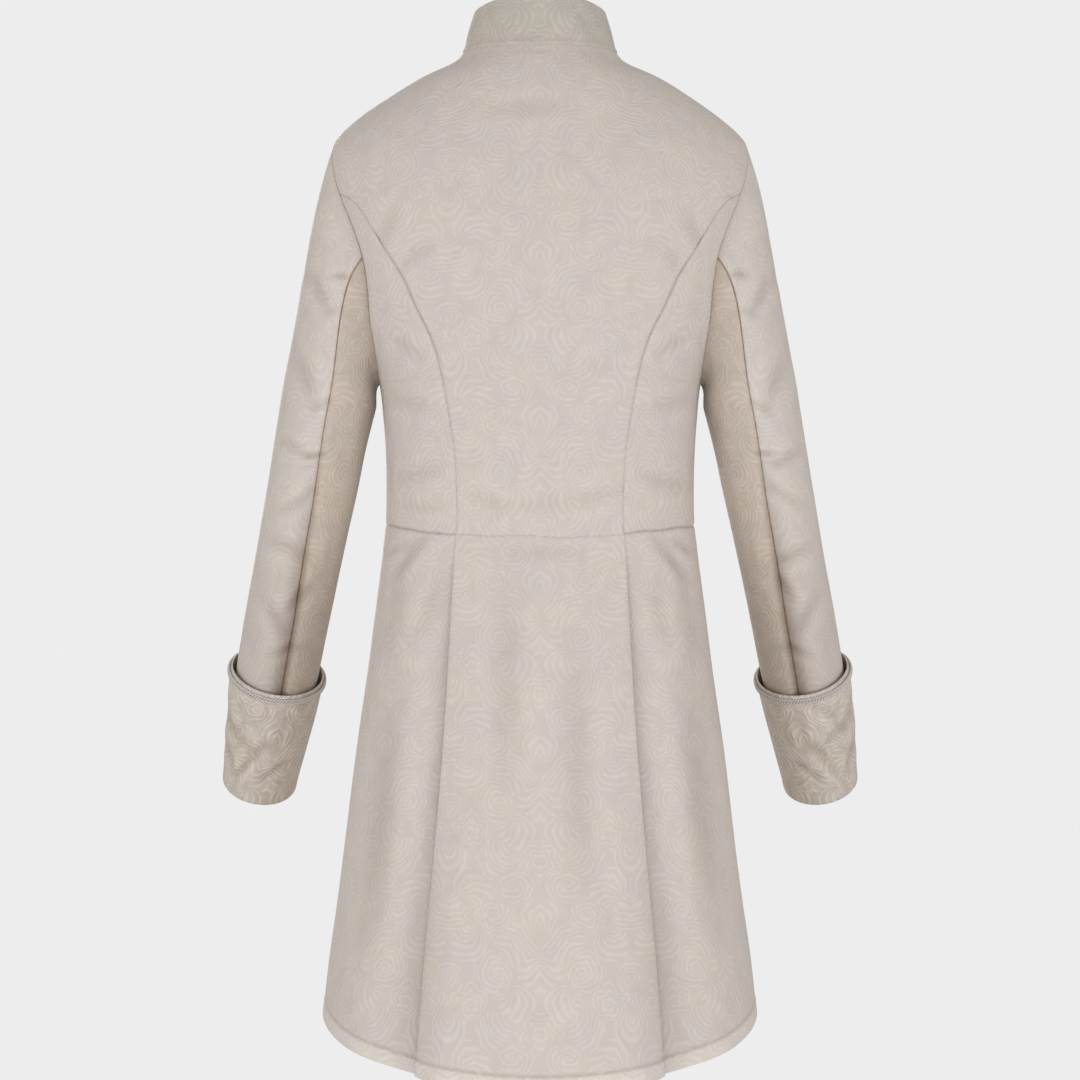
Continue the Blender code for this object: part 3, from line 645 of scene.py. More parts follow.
def cloth_shell(name, outer, inner, uv, material, folded=(), around=False, deep=(), hollow=0):
    """A closed mesh from a grid of outer points and the same grid of inner ones.

    Its rims are flat, in the wrong side's brown, where a seam closes them, and round where the cloth is
    folded over: folded names those edges among first, last, top and bottom. deep names those where that
    brown is also painted on the face, as painted shade in the seam. around joins the last column to the
    first.
    hollow is painted shade by how deep the cloth lies, from -0.5 on a ridge, a painted highlight, to 1 in a
    crease.
    """
    rows, columns = outer.shape[:2]
    count = rows * columns
    index = np.arange(count).reshape(rows, columns)
    if around:
        index = np.concatenate([index, index[:, :1]], axis=1)
    texel = np.arange(uv.shape[0] * uv.shape[1]).reshape(uv.shape[:2])
    faces = [quads(index), quads(index)[:, ::-1] + count]
    texels = [quads(texel), quads(texel)[:, ::-1]]
    right = np.ones((rows - 1, index.shape[1] - 1), bool)
    right[0] &= "top" not in deep
    right[:, 0] &= "first" not in deep
    right[:, -1] &= "last" not in deep
    sides = [1 - right.reshape(-1), np.ones(right.size, int)]
    points = [outer.reshape(-1, 3), inner.reshape(-1, 3)]
    sunk = np.broadcast_to(hollow, (rows, columns)).reshape(-1)
    hollows = [sunk, sunk]
    total = 2 * count
    thickness = np.linalg.norm(outer - inner, axis=2)
    if around:
        loops = [(index[0], texel[0], unit(outer[0] - outer[1]), "top"),
                 (index[-1], texel[-1], unit(outer[-1] - outer[-2]), "bottom")]
    else:
        out = np.zeros_like(outer)
        out[0] += unit(outer[0] - outer[1]) * ("top" in folded)
        out[-1] += unit(outer[-1] - outer[-2]) * ("bottom" in folded)
        out[:, 0] += unit(outer[:, 0] - outer[:, 1]) * ("first" in folded)
        out[:, -1] += unit(outer[:, -1] - outer[:, -2]) * ("last" in folded)
        ring = [index[0, :-1], index[:-1, -1], index[-1, :0:-1], index[:0:-1, 0]]
        ring_texels = [texel[0, :-1], texel[:-1, -1], texel[-1, :0:-1], texel[:0:-1, 0]]
        ring, ring_texels = np.concatenate(ring), np.concatenate(ring_texels)
        out = out.reshape(-1, 3)[ring]
        ring, ring_texels = np.append(ring, ring[0]), np.append(ring_texels, ring_texels[0])
        loops = [(ring, ring_texels, out, None)]
    for ring, ring_texels, out, edge in loops:
        unique = ring[:-1]
        bulge = out[:len(unique)] * (1.0 if edge is None or edge in folded else 0.0)
        half = thickness.reshape(-1)[unique][:, None] / 2
        previous = ring
        for turn in (60, 120):
            c, s = math.cos(math.radians(turn)), math.sin(math.radians(turn))
            near, back = outer.reshape(-1, 3)[unique], inner.reshape(-1, 3)[unique]
            points.append(near * (1 + c) / 2 + back * (1 - c) / 2 + bulge * half * s)
            hollows.append(sunk[unique])
            fresh = np.arange(len(unique)) + total
            total += len(unique)
            fresh = np.append(fresh, fresh[0])
            sides.append(1 - (np.linalg.norm(bulge, axis=1) > 0.5))
            faces.append(band(previous, fresh))
            texels.append(band(ring_texels, ring_texels))
            previous = fresh
        sides.append(np.ones(len(unique), int))
        faces.append(band(previous, ring + count))
        texels.append(band(ring_texels, ring_texels))
        if edge == "bottom":
            for k in (-1, -2, -3):
                faces[k], texels[k] = faces[k][:, ::-1], texels[k][:, ::-1]
    points = np.concatenate(points) * MM
    faces, texels = np.concatenate(faces), np.concatenate(texels)
    a, b, c = (points[faces[:len(quads(index)), k]] for k in (0, 1, 2))
    outwards = ((outer - inner).reshape(-1, 3)[quads(index)[:, 0]] * np.cross(b - a, c - a)).sum()
    if outwards < 0:
        faces, texels = faces[:, ::-1], texels[:, ::-1]
    mesh = bpy.data.meshes.new(name)
    mesh.from_pydata(points.tolist(), [], faces.tolist())
    layer = mesh.uv_layers.new(name="cloth")
    layer.data.foreach_set("uv", uv.reshape(-1, 2)[texels.reshape(-1)].astype(np.float32).reshape(-1))
    hollow = mesh.attributes.new("hollow", "FLOAT", "POINT")
    hollow.data.foreach_set("value", np.concatenate(hollows).astype(np.float32))
    mesh.shade_smooth()
    mesh.set_sharp_from_angle(angle=math.radians(50))
    mesh.materials.append(material)
    mesh.materials.append(wrong_side_and_seam_shade)
    mesh.polygons.foreach_set("material_index", np.concatenate(sides).astype(np.int32))
    return linked(name, mesh)


def sewn(piece, node):
    """Put a cloth piece in its place on the coat and hide its part; its flat cut is read but not used."""
    laid = np.empty(2 * len(piece.data.loops), np.float32)
    piece.data.uv_layers["cloth"].data.foreach_get("uv", laid)
    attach(piece, "root")
    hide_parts(node)


def body_piece(name, downs, first, last, count, seams, folded=(), lift=None, depth=None, fold_rows=(),
               front=False, middle=None, shade=None):
    """A piece of the body between two edges, given as angles on each level, and its outer grid."""
    angles = body_places(first, last, downs, count)
    level = downs[:, None] + 0 * angles
    face, out = body_face(angles, level), body_normal(angles, level)
    face[..., 2] += waist_wave(face, level)
    height = np.zeros(angles.shape) if lift is None else lift(angles, level)
    creases = folds(face, out, fold_rows, front)
    soft = creases + sway(face) + seam_drops(face, seams)
    # Painted shade along the seams and in the creases, and a painted highlight on ridges.
    hollow = seam_shade(face, seams) - creases * CREASE_SHADE_SHARE
    if shade is not None:
        hollow = hollow + shade(angles, level)
    thick = CLOTH if depth is None else depth(angles, level)[..., None]
    outer = face + out * (height + soft)[..., None]
    inner = outer - out * thick
    centre = angles.shape[1] // 2 if middle is None else middle
    uv = flat_map(face, centre, int(np.argmin(abs(downs - WAIST_DOWN))))
    piece = cloth_shell(f"{name}_cloth", outer, inner, uv, ivory_brocade, folded, hollow=hollow)
    sewn(piece, name)
    return outer, out


BACK_FOLDS = (
    (0, 8, 0, 30, 3, 0.9, 3),
    (18, 66, 0, 120, 9, 0.9, 4),
    (0, 455, 4, 150, 9, 0.7, -3),
    (-58, 440, 12, 60, 7, 0.8, 2),
    (55, 448, -14, 70, 7, 0.8, -2),
    (150, 182, 62, 60, 8, 1.2, 3),
    (-151, 186, 118, 56, 8, 1.2, -3),
    (120, 210, 40, 60, 9, 0.9, 3),
    (-122, 214, 140, 64, 9, 0.9, 3),
)
SIDE_BACK_FOLDS = (
    (128, 300, -38, 50, 7, 1.3, 2),
    (-128, 300, 218, 50, 7, 1.2, 2),
    (124, 352, -24, 58, 8, 1.1, 2),
    (-126, 356, 204, 58, 8, 1.0, 2),
    (118, 420, 12, 66, 8, 1.0, 2),
    (-120, 428, 168, 66, 8, 1.2, -2),
    (116, 452, -6, 60, 6, 0.9, 2),
)

tip = armhole_down(PRINCESS_START)
downs = np.unique(np.concatenate([levels((0, True), (ARMHOLE_TOP, False), (tip, False), (WAIST_DOWN, True)),
                                  armhole_levels(last=PRINCESS_START)]))
edge = np.where(downs > tip + 0.5, angle_at(downs, princess("out", np.maximum(downs, PRINCESS_SEAM[0][0]))),
                armhole_edge(downs, False))
body_piece("back", downs, -edge, edge, 92, ("first", "last", "top", "bottom"), fold_rows=BACK_FOLDS)

downs = np.unique(np.concatenate([[tip + 0.7], levels((tip + 3, False), (ARMHOLE_BOTTOM, False),
                                                      (WAIST_DOWN, True)),
                                  armhole_levels(first=PRINCESS_START + 8)]))
for side, label in ((1, "left"), (-1, "right")):
    body_piece(f"side_back_{label}", downs, side * angle_at(downs, princess("out", downs)),
               side * armhole_edge(downs, False), 28, ("first", "last", "bottom"), fold_rows=SIDE_BACK_FOLDS)


# The fronts: two straight ones of the same brocade, from the shoulder to the waist, cut like the backs.
# The wearer's left one laps over the right by its edge, which is folded.
FRONT_LAP = 18
LAP_LIFT = CLOTH + 2 * SEAM_GAP
LAP_START = 44
LAP_RISE = 30
FRONT_FOLDS = (
    (118, 250, 58, 90, 9, 1.3, 4),
    (-120, 254, 122, 90, 9, 1.2, -4),
    (126, 300, 30, 60, 8, 1.1, 2),
    (-126, 306, 150, 60, 8, 1.2, -2),
    (96, 440, -12, 80, 8, 0.9, 2),
    (-98, 446, 192, 80, 8, 0.9, 2),
    (60, 150, 70, 90, 10, 0.8, 3),
    (-62, 156, 110, 90, 10, 0.8, -3),
)


def lap_lift(angle, down):
    """The left front rises over the right front's edge."""
    share = np.sin(angle) * body("half_width", down)
    return LAP_LIFT * (1 - ease((share - LAP_START) / LAP_RISE))


def front_edge(down):
    """Past centre front by the lap."""
    return 2 * math.pi - angle_at(down, FRONT_LAP, front=True)


downs = np.unique(np.concatenate([levels((0, True), (ARMHOLE_TOP, False), (ARMHOLE_BOTTOM, False),
                                         (WAIST_DOWN, True)), armhole_levels()]))
for side, label, lift in ((1, "left", lap_lift), (-1, "right", None)):
    body_piece(f"front_{label}", downs, side * armhole_edge(downs, True), side * front_edge(downs), 62,
               ("first", "top", "bottom"), folded=("last",), lift=lift, fold_rows=FRONT_FOLDS, front=True,
               middle=60)


# The stand collar: a curved stand of the same brocade, stiff enough to hold its shape, folded over at its
# top edge and front ends and set into the neck seam.
COLLAR_CLOTH = 3.0
COLLAR_TOP = {"half_width": 66, "back": 54.5, "front": 61, "side_up": 40, "back_up": 48, "front_down": 29}
COLLAR_UP = 50
COLLAR_COLUMNS = 150
COLLAR_FRONT_GAP = 3
# The collar's brocade is painted darker and greyer than the body's: painted shade.
COLLAR_GROUND = "bfb8ae"
COLLAR_FIGURE = "cac4bb"


def collar_face(angle, up):
    """The collar's outer face, from the neck seam (0) to its top edge (1)."""
    foot = body_face(angle, np.zeros_like(angle))
    behind = np.cos(angle) >= 0
    depth = np.where(behind, COLLAR_TOP["back"], COLLAR_TOP["front"])
    x, y = rounded(angle, COLLAR_TOP["half_width"], depth, 2)
    end_up = np.where(behind, COLLAR_TOP["back_up"], -COLLAR_TOP["front_down"])
    top = COLLAR_TOP["side_up"] + (end_up - COLLAR_TOP["side_up"]) * np.cos(angle) ** 2
    return foot + (np.stack([x, y, top], axis=-1) - foot) * up[..., None]


stop = math.pi - COLLAR_FRONT_GAP / COLLAR_TOP["half_width"]
up, angle = np.meshgrid((levels((0, True), (COLLAR_UP, True)) / COLLAR_UP)[::-1],
                        np.linspace(-stop, stop, COLLAR_COLUMNS), indexing="ij")
shaded_collar_brocade = brocade("shaded_collar_brocade", COLLAR_GROUND, COLLAR_FIGURE, 0.3, 1.4)
face = collar_face(angle, up)
out = -unit(np.cross(np.gradient(face, axis=1), np.gradient(face, axis=0)))
out *= np.sign((out * face * (1, 1, 0)).sum(axis=-1, keepdims=True))
bulge = 0.8 * np.sin(math.pi * up) + 1.2 * np.exp(-((up * COLLAR_UP - 1.5) / 2.4) ** 2)
face = face + out * (bulge + sway(face))[..., None]
uv = flat_map(face, COLLAR_COLUMNS // 2, len(up) - 1)
piece = cloth_shell("collar_cloth", face, face - out * COLLAR_CLOTH, uv, shaded_collar_brocade,
                    ("top", "bottom", "first", "last"))
sewn(piece, "collar")


# The skirt: a brocade centre back panel, two sides and two fronts, sewn to the bodice at the waist. The
# centre panel's edges are folded back as pleats over the side panels, crisp at the waist and rolling
# open towards the hem, which is turned up and stitched.
PLEAT_EDGE = (
    # down, out, sink, valley, valley_width, doubling
    (471, 80.6, 0.0, 0.0, 26, 0.0),
    (530, 85.5, 0.3, 1.0, 30, 1.0),
    (575, 88.0, 0.8, 2.0, 34, 2.3),
    (655, 93.0, 1.8, 4.0, 42, 2.3),
    (745, 101.0, 3.2, 7.0, 50, 2.3),
    (850, 112.0, 5.0, 10.5, 58, 2.3),
    (951, 120.5, 6.5, 13.0, 64, 2.3),
)
PLEAT_ROLL_WIDTH = 32
PLEAT_UNDERLAP = 20
PLEAT_DOUBLE_WIDTH = 16
PLEAT_ROLL = 2.4
PLEAT_ROLL_EDGE = 12
PLEAT_THIN = 0.7
PLEAT_SEWN_TO = 40
PLEAT_SOFT = 640
PLEAT_SOFTENS = 220
HEM_LIGHT = 0.27
STITCH_SHADOW = 0.16
HEM_TURN = 14
pleat = curves(("down", "out", "sink", "valley", "valley_width", "doubling"), PLEAT_EDGE)


def side_out(angle, down):
    """How far out from centre back the coat's face is."""
    return abs(body_face(angle, down)[..., 0])


def hem_height(down):
    """The turned hem stands a little proud below its row of stitches."""
    above = HEM_DOWN - down
    return 0.5 * ease((HEM_TURN - above) / 3) - 0.9 * np.exp(-((above - HEM_TURN) / 1.6) ** 2)


def below_waist(down):
    """From 0 in the waist seam, which holds the pleats flat, to 1 a little below it."""
    return ease((down - WAIST_DOWN) / 60)


def edge_roll(inside, down):
    """How much further the fold rolls under, close to its edge."""
    return PLEAT_ROLL * below_waist(down) * np.clip(1 - inside / PLEAT_ROLL_EDGE, 0, 1) ** 2


def pleat_sink(angle, down):
    """The centre panel rolls in towards its pleat edges."""
    inside = pleat("out", down) - side_out(angle, down)
    sink = pleat("sink", down) * ease(1 - inside / PLEAT_ROLL_WIDTH)
    return -sink - edge_roll(inside, down) + hem_height(down)


def edge_cloth(down):
    """The fold is pressed thin where the waist seam holds it."""
    return CLOTH - (CLOTH - PLEAT_THIN) * (1 - ease((down - WAIST_DOWN) / PLEAT_SEWN_TO))


def pleat_depth(angle, down):
    """The pleat's folded edge is two cloths thick."""
    inside = pleat("out", down) - side_out(angle, down)
    pressed = (CLOTH - edge_cloth(down)) * ease(2 - inside / PLEAT_UNDERLAP)
    double = pleat("doubling", down) * ease(1.5 - inside / PLEAT_DOUBLE_WIDTH)
    return CLOTH - pressed + double - edge_roll(inside, down)


def side_sink(angle, down):
    """The side panel starts under the pleat and comes up to the face beyond the valley."""
    beyond = side_out(angle, down) - pleat("out", down)
    under = edge_cloth(down) + SEAM_GAP + pleat("doubling", down) + pleat("sink", down)
    tucked = -under - pleat("valley", down) * ease(1 + beyond / PLEAT_UNDERLAP)
    open_side = -(under + pleat("valley", down)) * (1 - ease(beyond / pleat("valley_width", down)))
    return np.where(beyond <= 0, tucked, open_side) + hem_height(down)


def hem_shade(down):
    """Painted light on the turned hem: a painted highlight over it, and a painted shadow along its stitches.
    """
    above = HEM_DOWN - down
    return STITCH_SHADOW * np.exp(-((above - HEM_TURN) / 1.8) ** 2) - HEM_LIGHT * ease((HEM_TURN - above) / 4)


def panel_shade(angle, down):
    """The centre panel's edges catch the light above, and roll into the valleys' shadow below."""
    inside = pleat("out", down) - side_out(angle, down)
    low = ease((down - PLEAT_SOFT) / PLEAT_SOFTENS)
    crisp = 0.1 * np.exp(-((inside - 4) / 4) ** 2) * below_waist(down)
    return hem_shade(down) - crisp * (1 - low) + 0.14 * low * np.exp(-np.maximum(inside, 0) / 8)


def side_shade(angle, down):
    """Painted shade on the side panels, darkest in the valleys beside the pleats, which widen downwards."""
    beyond = side_out(angle, down) - pleat("out", down)
    width = 7 + 5 * ease((down - PLEAT_SOFT) / PLEAT_SOFTENS)
    return hem_shade(down) + 0.3 * np.exp(-np.maximum(beyond, 0) / width) * below_waist(down)


SKIRT_FOLDS = (
    (-128, 508, 128, 74, 6, 2.2, 3),
    (126, 504, 52, 70, 6, 2.2, -3),
    (138, 492, 30, 40, 5, 1.7, 2),
    (-138, 494, 150, 40, 5, 1.7, 2),
    (110, 548, 76, 80, 9, 1.2, 3),
    (-112, 552, 102, 80, 9, 1.2, 3),
    (140, 560, 78, 110, 10, 1.2, -4),
    (-143, 566, 100, 110, 10, 1.3, 4),
    (0, 500, 0, 110, 8, 0.8, -3),
    (34, 620, 88, 260, 15, 1.2, 3),
    (-38, 700, 92, 300, 16, 1.3, -3),
    (158, 760, 84, 300, 15, 1.8, 4),
    (-160, 740, 96, 300, 15, 1.8, -4),
)

stitched = HEM_DOWN - HEM_TURN
downs = np.concatenate([levels((WAIST_DOWN, True), (stitched - 4, False)),
                        np.arange(stitched - 3, stitched + 3.1, 0.75),
                        np.linspace(stitched + 4, HEM_DOWN, 6)])
hem_row = int(np.argmin(abs(downs - stitched)))
edge = angle_at(downs, pleat("out", downs))
under_edge = angle_at(downs, pleat("out", downs) - PLEAT_UNDERLAP)
side_seam = math.pi / 2 + 0 * downs
outer, out = body_piece("skirt_back", downs, -edge, edge, 64, ("top",), folded=("first", "last", "bottom"),
                        lift=pleat_sink, depth=pleat_depth, fold_rows=SKIRT_FOLDS, shade=panel_shade)
hem_lines = [("skirt_back", outer[hem_row], out[hem_row])]
for side, label in ((1, "left"), (-1, "right")):
    name = f"skirt_side_{label}"
    outer, out = body_piece(name, downs, side * under_edge, side * side_seam, 50, ("top", "last"),
                            folded=("bottom",), lift=side_sink, fold_rows=SKIRT_FOLDS, shade=side_shade)
    hem_lines.append((name, outer[hem_row, 16:], out[hem_row, 16:]))
for side, label, lap in ((1, "left", lap_lift), (-1, "right", lambda angle, down: 0)):
    name = f"skirt_front_{label}"
    outer, out = body_piece(name, downs, side * side_seam, side * front_edge(downs), 72, ("top", "first"),
                            folded=("last", "bottom"), fold_rows=SKIRT_FOLDS, front=True, middle=70,
                            lift=lambda angle, down: lap(angle, down) + hem_height(down),
                            shade=lambda angle, down: hem_shade(down))
    hem_lines.append((name, outer[hem_row], out[hem_row]))


# The hem stitches: the turned hem is caught down with a row of small stitches in ivory silk thread, each of
# which draws the face in a little.
STITCH_LENGTH = 2.2
STITCH_APART = 3.6
STITCH_THICK = 0.5
THREAD_COLOUR = "c4bab0"
FIRST_SEED = 11


def spun(name, colour, size, roughness):
    """Spun thread: fine fibres along it, and a soft sheen."""
    yarn, tree = empty_material(name)
    place = add(tree, "ShaderNodeTexCoord")["Object"]
    fibres = add(tree, "ShaderNodeTexNoise", {"Vector": place, "Scale": 1 / MM / size, "Detail": 3.0})[0]
    shade = add(tree, "ShaderNodeMapRange", {"Value": fibres, "From Min": 0.3, "From Max": 0.7,
                                             "To Min": 0.86, "To Max": 1.06})[0]
    tint = add(tree, "ShaderNodeMix", {0: 1.0, 6: linear(colour), 7: shade}, data_type="RGBA",
               blend_type="MULTIPLY")[2]
    bump = add(tree, "ShaderNodeBump", {"Height": fibres, "Distance": 0.12 * MM})[0]
    surface = add(tree, "ShaderNodeBsdfPrincipled", {
        "Base Color": tint, "Roughness": roughness, "Normal": bump, "Sheen Weight": 0.2,
        "Specular IOR Level": 0.35})[0]
    add(tree, "ShaderNodeOutputMaterial", {"Surface": surface})
    return yarn


def growing(name, **kinds):
    """A node tree with named inputs, its line as a curve, and the line's outward and forward ways."""
    tree = bpy.data.node_groups.new(name, "GeometryNodeTree")
    for socket, kind in {"Line": "Geometry", **kinds}.items():
        tree.interface.new_socket(name=socket, in_out="INPUT", socket_type=f"NodeSocket{kind}")
    tree.interface.new_socket(name="Mesh", in_out="OUTPUT", socket_type="NodeSocketGeometry")
    given = tree.nodes.new("NodeGroupInput").outputs
    curve = add(tree, "GeometryNodeMeshToCurve", {0: given["Line"]})[0]
    away = add(tree, "GeometryNodeInputNamedAttribute", {0: "facing"}, data_type="FLOAT_VECTOR")[0]
    return tree, given, curve, away, add(tree, "GeometryNodeInputTangent")[0]


def painted(tree, mesh, thread):
    """End a tree: its mesh is made real and smooth, and given its thread."""
    mesh = add(tree, "GeometryNodeRealizeInstances", {0: mesh})[0]
    mesh = add(tree, "GeometryNodeSetShadeSmooth", {0: mesh})[0]
    mesh = add(tree, "GeometryNodeSetMaterial", {0: mesh, 2: thread})[0]
    add(tree, "NodeGroupOutput", {0: mesh})


def grown(name, tree, points, facing, closed, **values):
    """Run a node tree on a line of points that each face outwards, and keep the mesh it makes."""
    count = len(points)
    edges = [(i, (i + 1) % count) for i in range(count if closed else count - 1)]
    mesh = bpy.data.meshes.new(name)
    mesh.from_pydata((points * MM).tolist(), edges, [])
    away = mesh.attributes.new("facing", "FLOAT_VECTOR", "POINT")
    away.data.foreach_set("vector", facing.astype(np.float32).reshape(-1))
    piece = linked(name, mesh)
    modifier = piece.modifiers.new(name, "NODES")
    modifier.node_group = tree
    for socket in tree.interface.items_tree:
        if socket.name in values:
            modifier[socket.identifier] = values[socket.name]
    graph = bpy.context.evaluated_depsgraph_get()
    made = bpy.data.meshes.new_from_object(piece.evaluated_get(graph), depsgraph=graph)
    piece.modifiers.clear()
    piece.data = made
    return piece


tree, given, curve, away, along = growing("hem_stitches", Apart="Float", Length="Float", Thick="Float",
                                          Seed="Int", Thread="Material")
evenly = add(tree, "GeometryNodeResampleCurve", {0: curve, "Length": given["Apart"]}, mode="LENGTH")[0]
lie = add(tree, "FunctionNodeAlignRotationToVector", {"Vector": along}, axis="X")[0]
lie = add(tree, "FunctionNodeAlignRotationToVector", {0: lie, "Vector": away}, axis="Z", pivot_axis="X")[0]
uneven = add(tree, "FunctionNodeRandomValue", {2: 0.8, 3: 1.15, "Seed": given["Seed"]}, data_type="FLOAT")[1]
long = add(tree, "ShaderNodeMath", {0: given["Length"], 1: uneven}, operation="MULTIPLY")[0]
size = add(tree, "ShaderNodeCombineXYZ", {0: long, 1: given["Thick"], 2: given["Thick"]})[0]
bead = add(tree, "GeometryNodeMeshUVSphere", {0: 6, 1: 5, 2: 0.5})[0]
beads = add(tree, "GeometryNodeInstanceOnPoints", {0: evenly, 2: bead, 5: lie, 6: size})[0]
painted(tree, beads, given["Thread"])

silk_thread = spun("silk_thread", THREAD_COLOUR, 0.5, 0.55)
for number, (name, line, out) in enumerate(hem_lines):
    row = grown(f"hem_stitches_{name}", tree, line, out, False, Apart=STITCH_APART * MM,
                Length=STITCH_LENGTH * MM, Thick=STITCH_THICK * MM, Seed=FIRST_SEED + number,
                Thread=silk_thread)
    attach(row, "root")


# The sleeves: two brocade pieces each, a wide upper and a narrower under sleeve, joined at the back of the
# arm and inside it, set into the armholes with a little ease, and bent at the elbow.
SLEEVE_BACK_SEAM = 90
SLEEVE_FRONT_SEAM = -118
SLEEVE_RINGS = (
    # down, out, forward, half_width, half_depth, twist
    (346, 210.5, 0, 47.6, 63, 7),
    (386, 218.5, 0, 45.8, 61, 8),
    (426, 226, 3, 44.8, 59, 9),
    (466, 235, 12, 43.7, 57, 10),
    (506, 244, 25, 43.0, 55, 11),
    (547, 253.3, 41, 42.7, 53.5, 13),
    (588, 262.7, 58, 42.3, 52.5, 14),
    (628, 271.7, 75, 41.8, 51.5, 15),
    (668, 280, 92, 40.0, 49.5, 16),
    (708, 288, 108, 37.0, 46.5, 16),
    (742, 295, 122, 33.9, 43.5, 16),
)
SLEEVE_TOP_DOWN = 346
CUFF_BOTTOM_DOWN = 738
CUFF_INSIDE_TURN = 11
SLEEVE_END_DOWN = CUFF_BOTTOM_DOWN - CUFF_INSIDE_TURN - 0.9 * SEAM_GAP
sleeve = curves(("down", "out", "forward", "half_width", "half_depth", "twist"), SLEEVE_RINGS)


def sleeve_axis(down):
    """The left sleeve's centre line."""
    return np.stack(np.broadcast_arrays(sleeve("out", down), -sleeve("forward", down), -down), axis=-1)


def sleeve_ring(station, down, half_width, half_depth):
    """A point of a ring square to the left sleeve's centre line."""
    along = unit(sleeve_axis(down + 2) - sleeve_axis(down - 2))
    sideways = unit(np.array((1.0, 0, 0)) - along * along[..., :1])
    back = np.cross(sideways, along)
    angle = np.radians(station + sleeve("twist", down))[..., None]
    return sleeve_axis(down) + sideways * half_width * np.cos(angle) + back * half_depth * np.sin(angle)


def armhole_point(station):
    """The body's edge at the armhole, with the turn and the sway that its pieces have there."""
    turned = (station + 180) % 360 - 180
    angle, down = armhole_angle(turned), armhole_down(turned)
    edge = body_face(angle, down)
    return edge + body_normal(angle, down) * (sway(edge) - seam_depth(edge))[..., None]


def head_start(station):
    """The way the sleeve leaves the armhole: out and down, and backwards or forwards at those sides."""
    angle = np.radians(station)
    out, down = 0.56 - 0.26 * np.cos(angle), 0.68 + 0.24 * np.cos(angle)
    return unit(np.stack([out, 0.42 * np.sin(angle), -down], axis=-1))


def sleeve_row(station, place):
    """A row of the left sleeve's outer face: place 0 to 1 is the head, and beyond 1 it is a level."""
    if place > 1:
        return sleeve_ring(station, place, sleeve("half_width", place), sleeve("half_depth", place))
    top = float(SLEEVE_TOP_DOWN)
    start = armhole_point(station) + head_start(station) * JOIN
    end = sleeve_ring(station, top, sleeve("half_width", top), sleeve("half_depth", top))
    chord = np.linalg.norm(end - start, axis=-1, keepdims=True)
    along = unit(sleeve_axis(top + 2) - sleeve_axis(top))
    return between(start, head_start(station) * chord * 0.9, end, along * chord, place)


SEAM_VALLEY = 6.5
VALLEY_SHADOW = 0.46
ROWS_TO_TOP = 78
ROWS_DOWN = 150
SLEEVE_FOLDS = (
    # creases across the back seam, at the armpit and at the elbow
    (193, 229, 4, 28, 3.2, 2.8, 1),
    (-193, 229, 176, 28, 3.2, 2.8, 1),
    (200, 262, 12, 34, 4, 1.2, 2),
    (-200, 266, 168, 34, 4, 1.2, 2),
    (221, 403, 4, 34, 3.2, 2.8, 1),
    (-221, 403, 176, 34, 3.2, 2.8, 1),
    (226, 413, 10, 28, 3.0, 1.5, 1),
    (-226, 412, 170, 28, 3.0, 1.5, 1),
    # soft troughs down the outside of the arm
    (218, 246, 117, 70, 7, 1.8, 3),
    (-218, 250, 63, 70, 7, 1.8, -3),
    (232, 330, 110, 80, 8, 1.7, 3),
    (-232, 336, 70, 80, 8, 1.7, -3),
    (214, 352, 24, 40, 5, 1.4, 2),
    (-216, 358, 156, 40, 5, 1.4, 2),
    (240, 398, 150, 50, 6, 1.7, 2),
    (-242, 404, 30, 50, 6, 1.7, 2),
    (238, 446, 28, 60, 6, 1.7, 3),
    (-240, 440, 152, 60, 6, 1.7, -3),
    (250, 496, -26, 60, 7, 1.6, -2),
    (-250, 504, 206, 60, 7, 1.6, 2),
    (236, 540, 46, 66, 6, 1.6, 2),
    (-238, 534, 134, 66, 6, 1.6, 2),
    (266, 566, 116, 60, 7, 1.6, 2),
    (-266, 560, 64, 60, 7, 1.6, 2),
    (252, 596, 14, 60, 5, 1.4, 2),
    (-254, 600, 166, 60, 5, 1.4, 2),
)

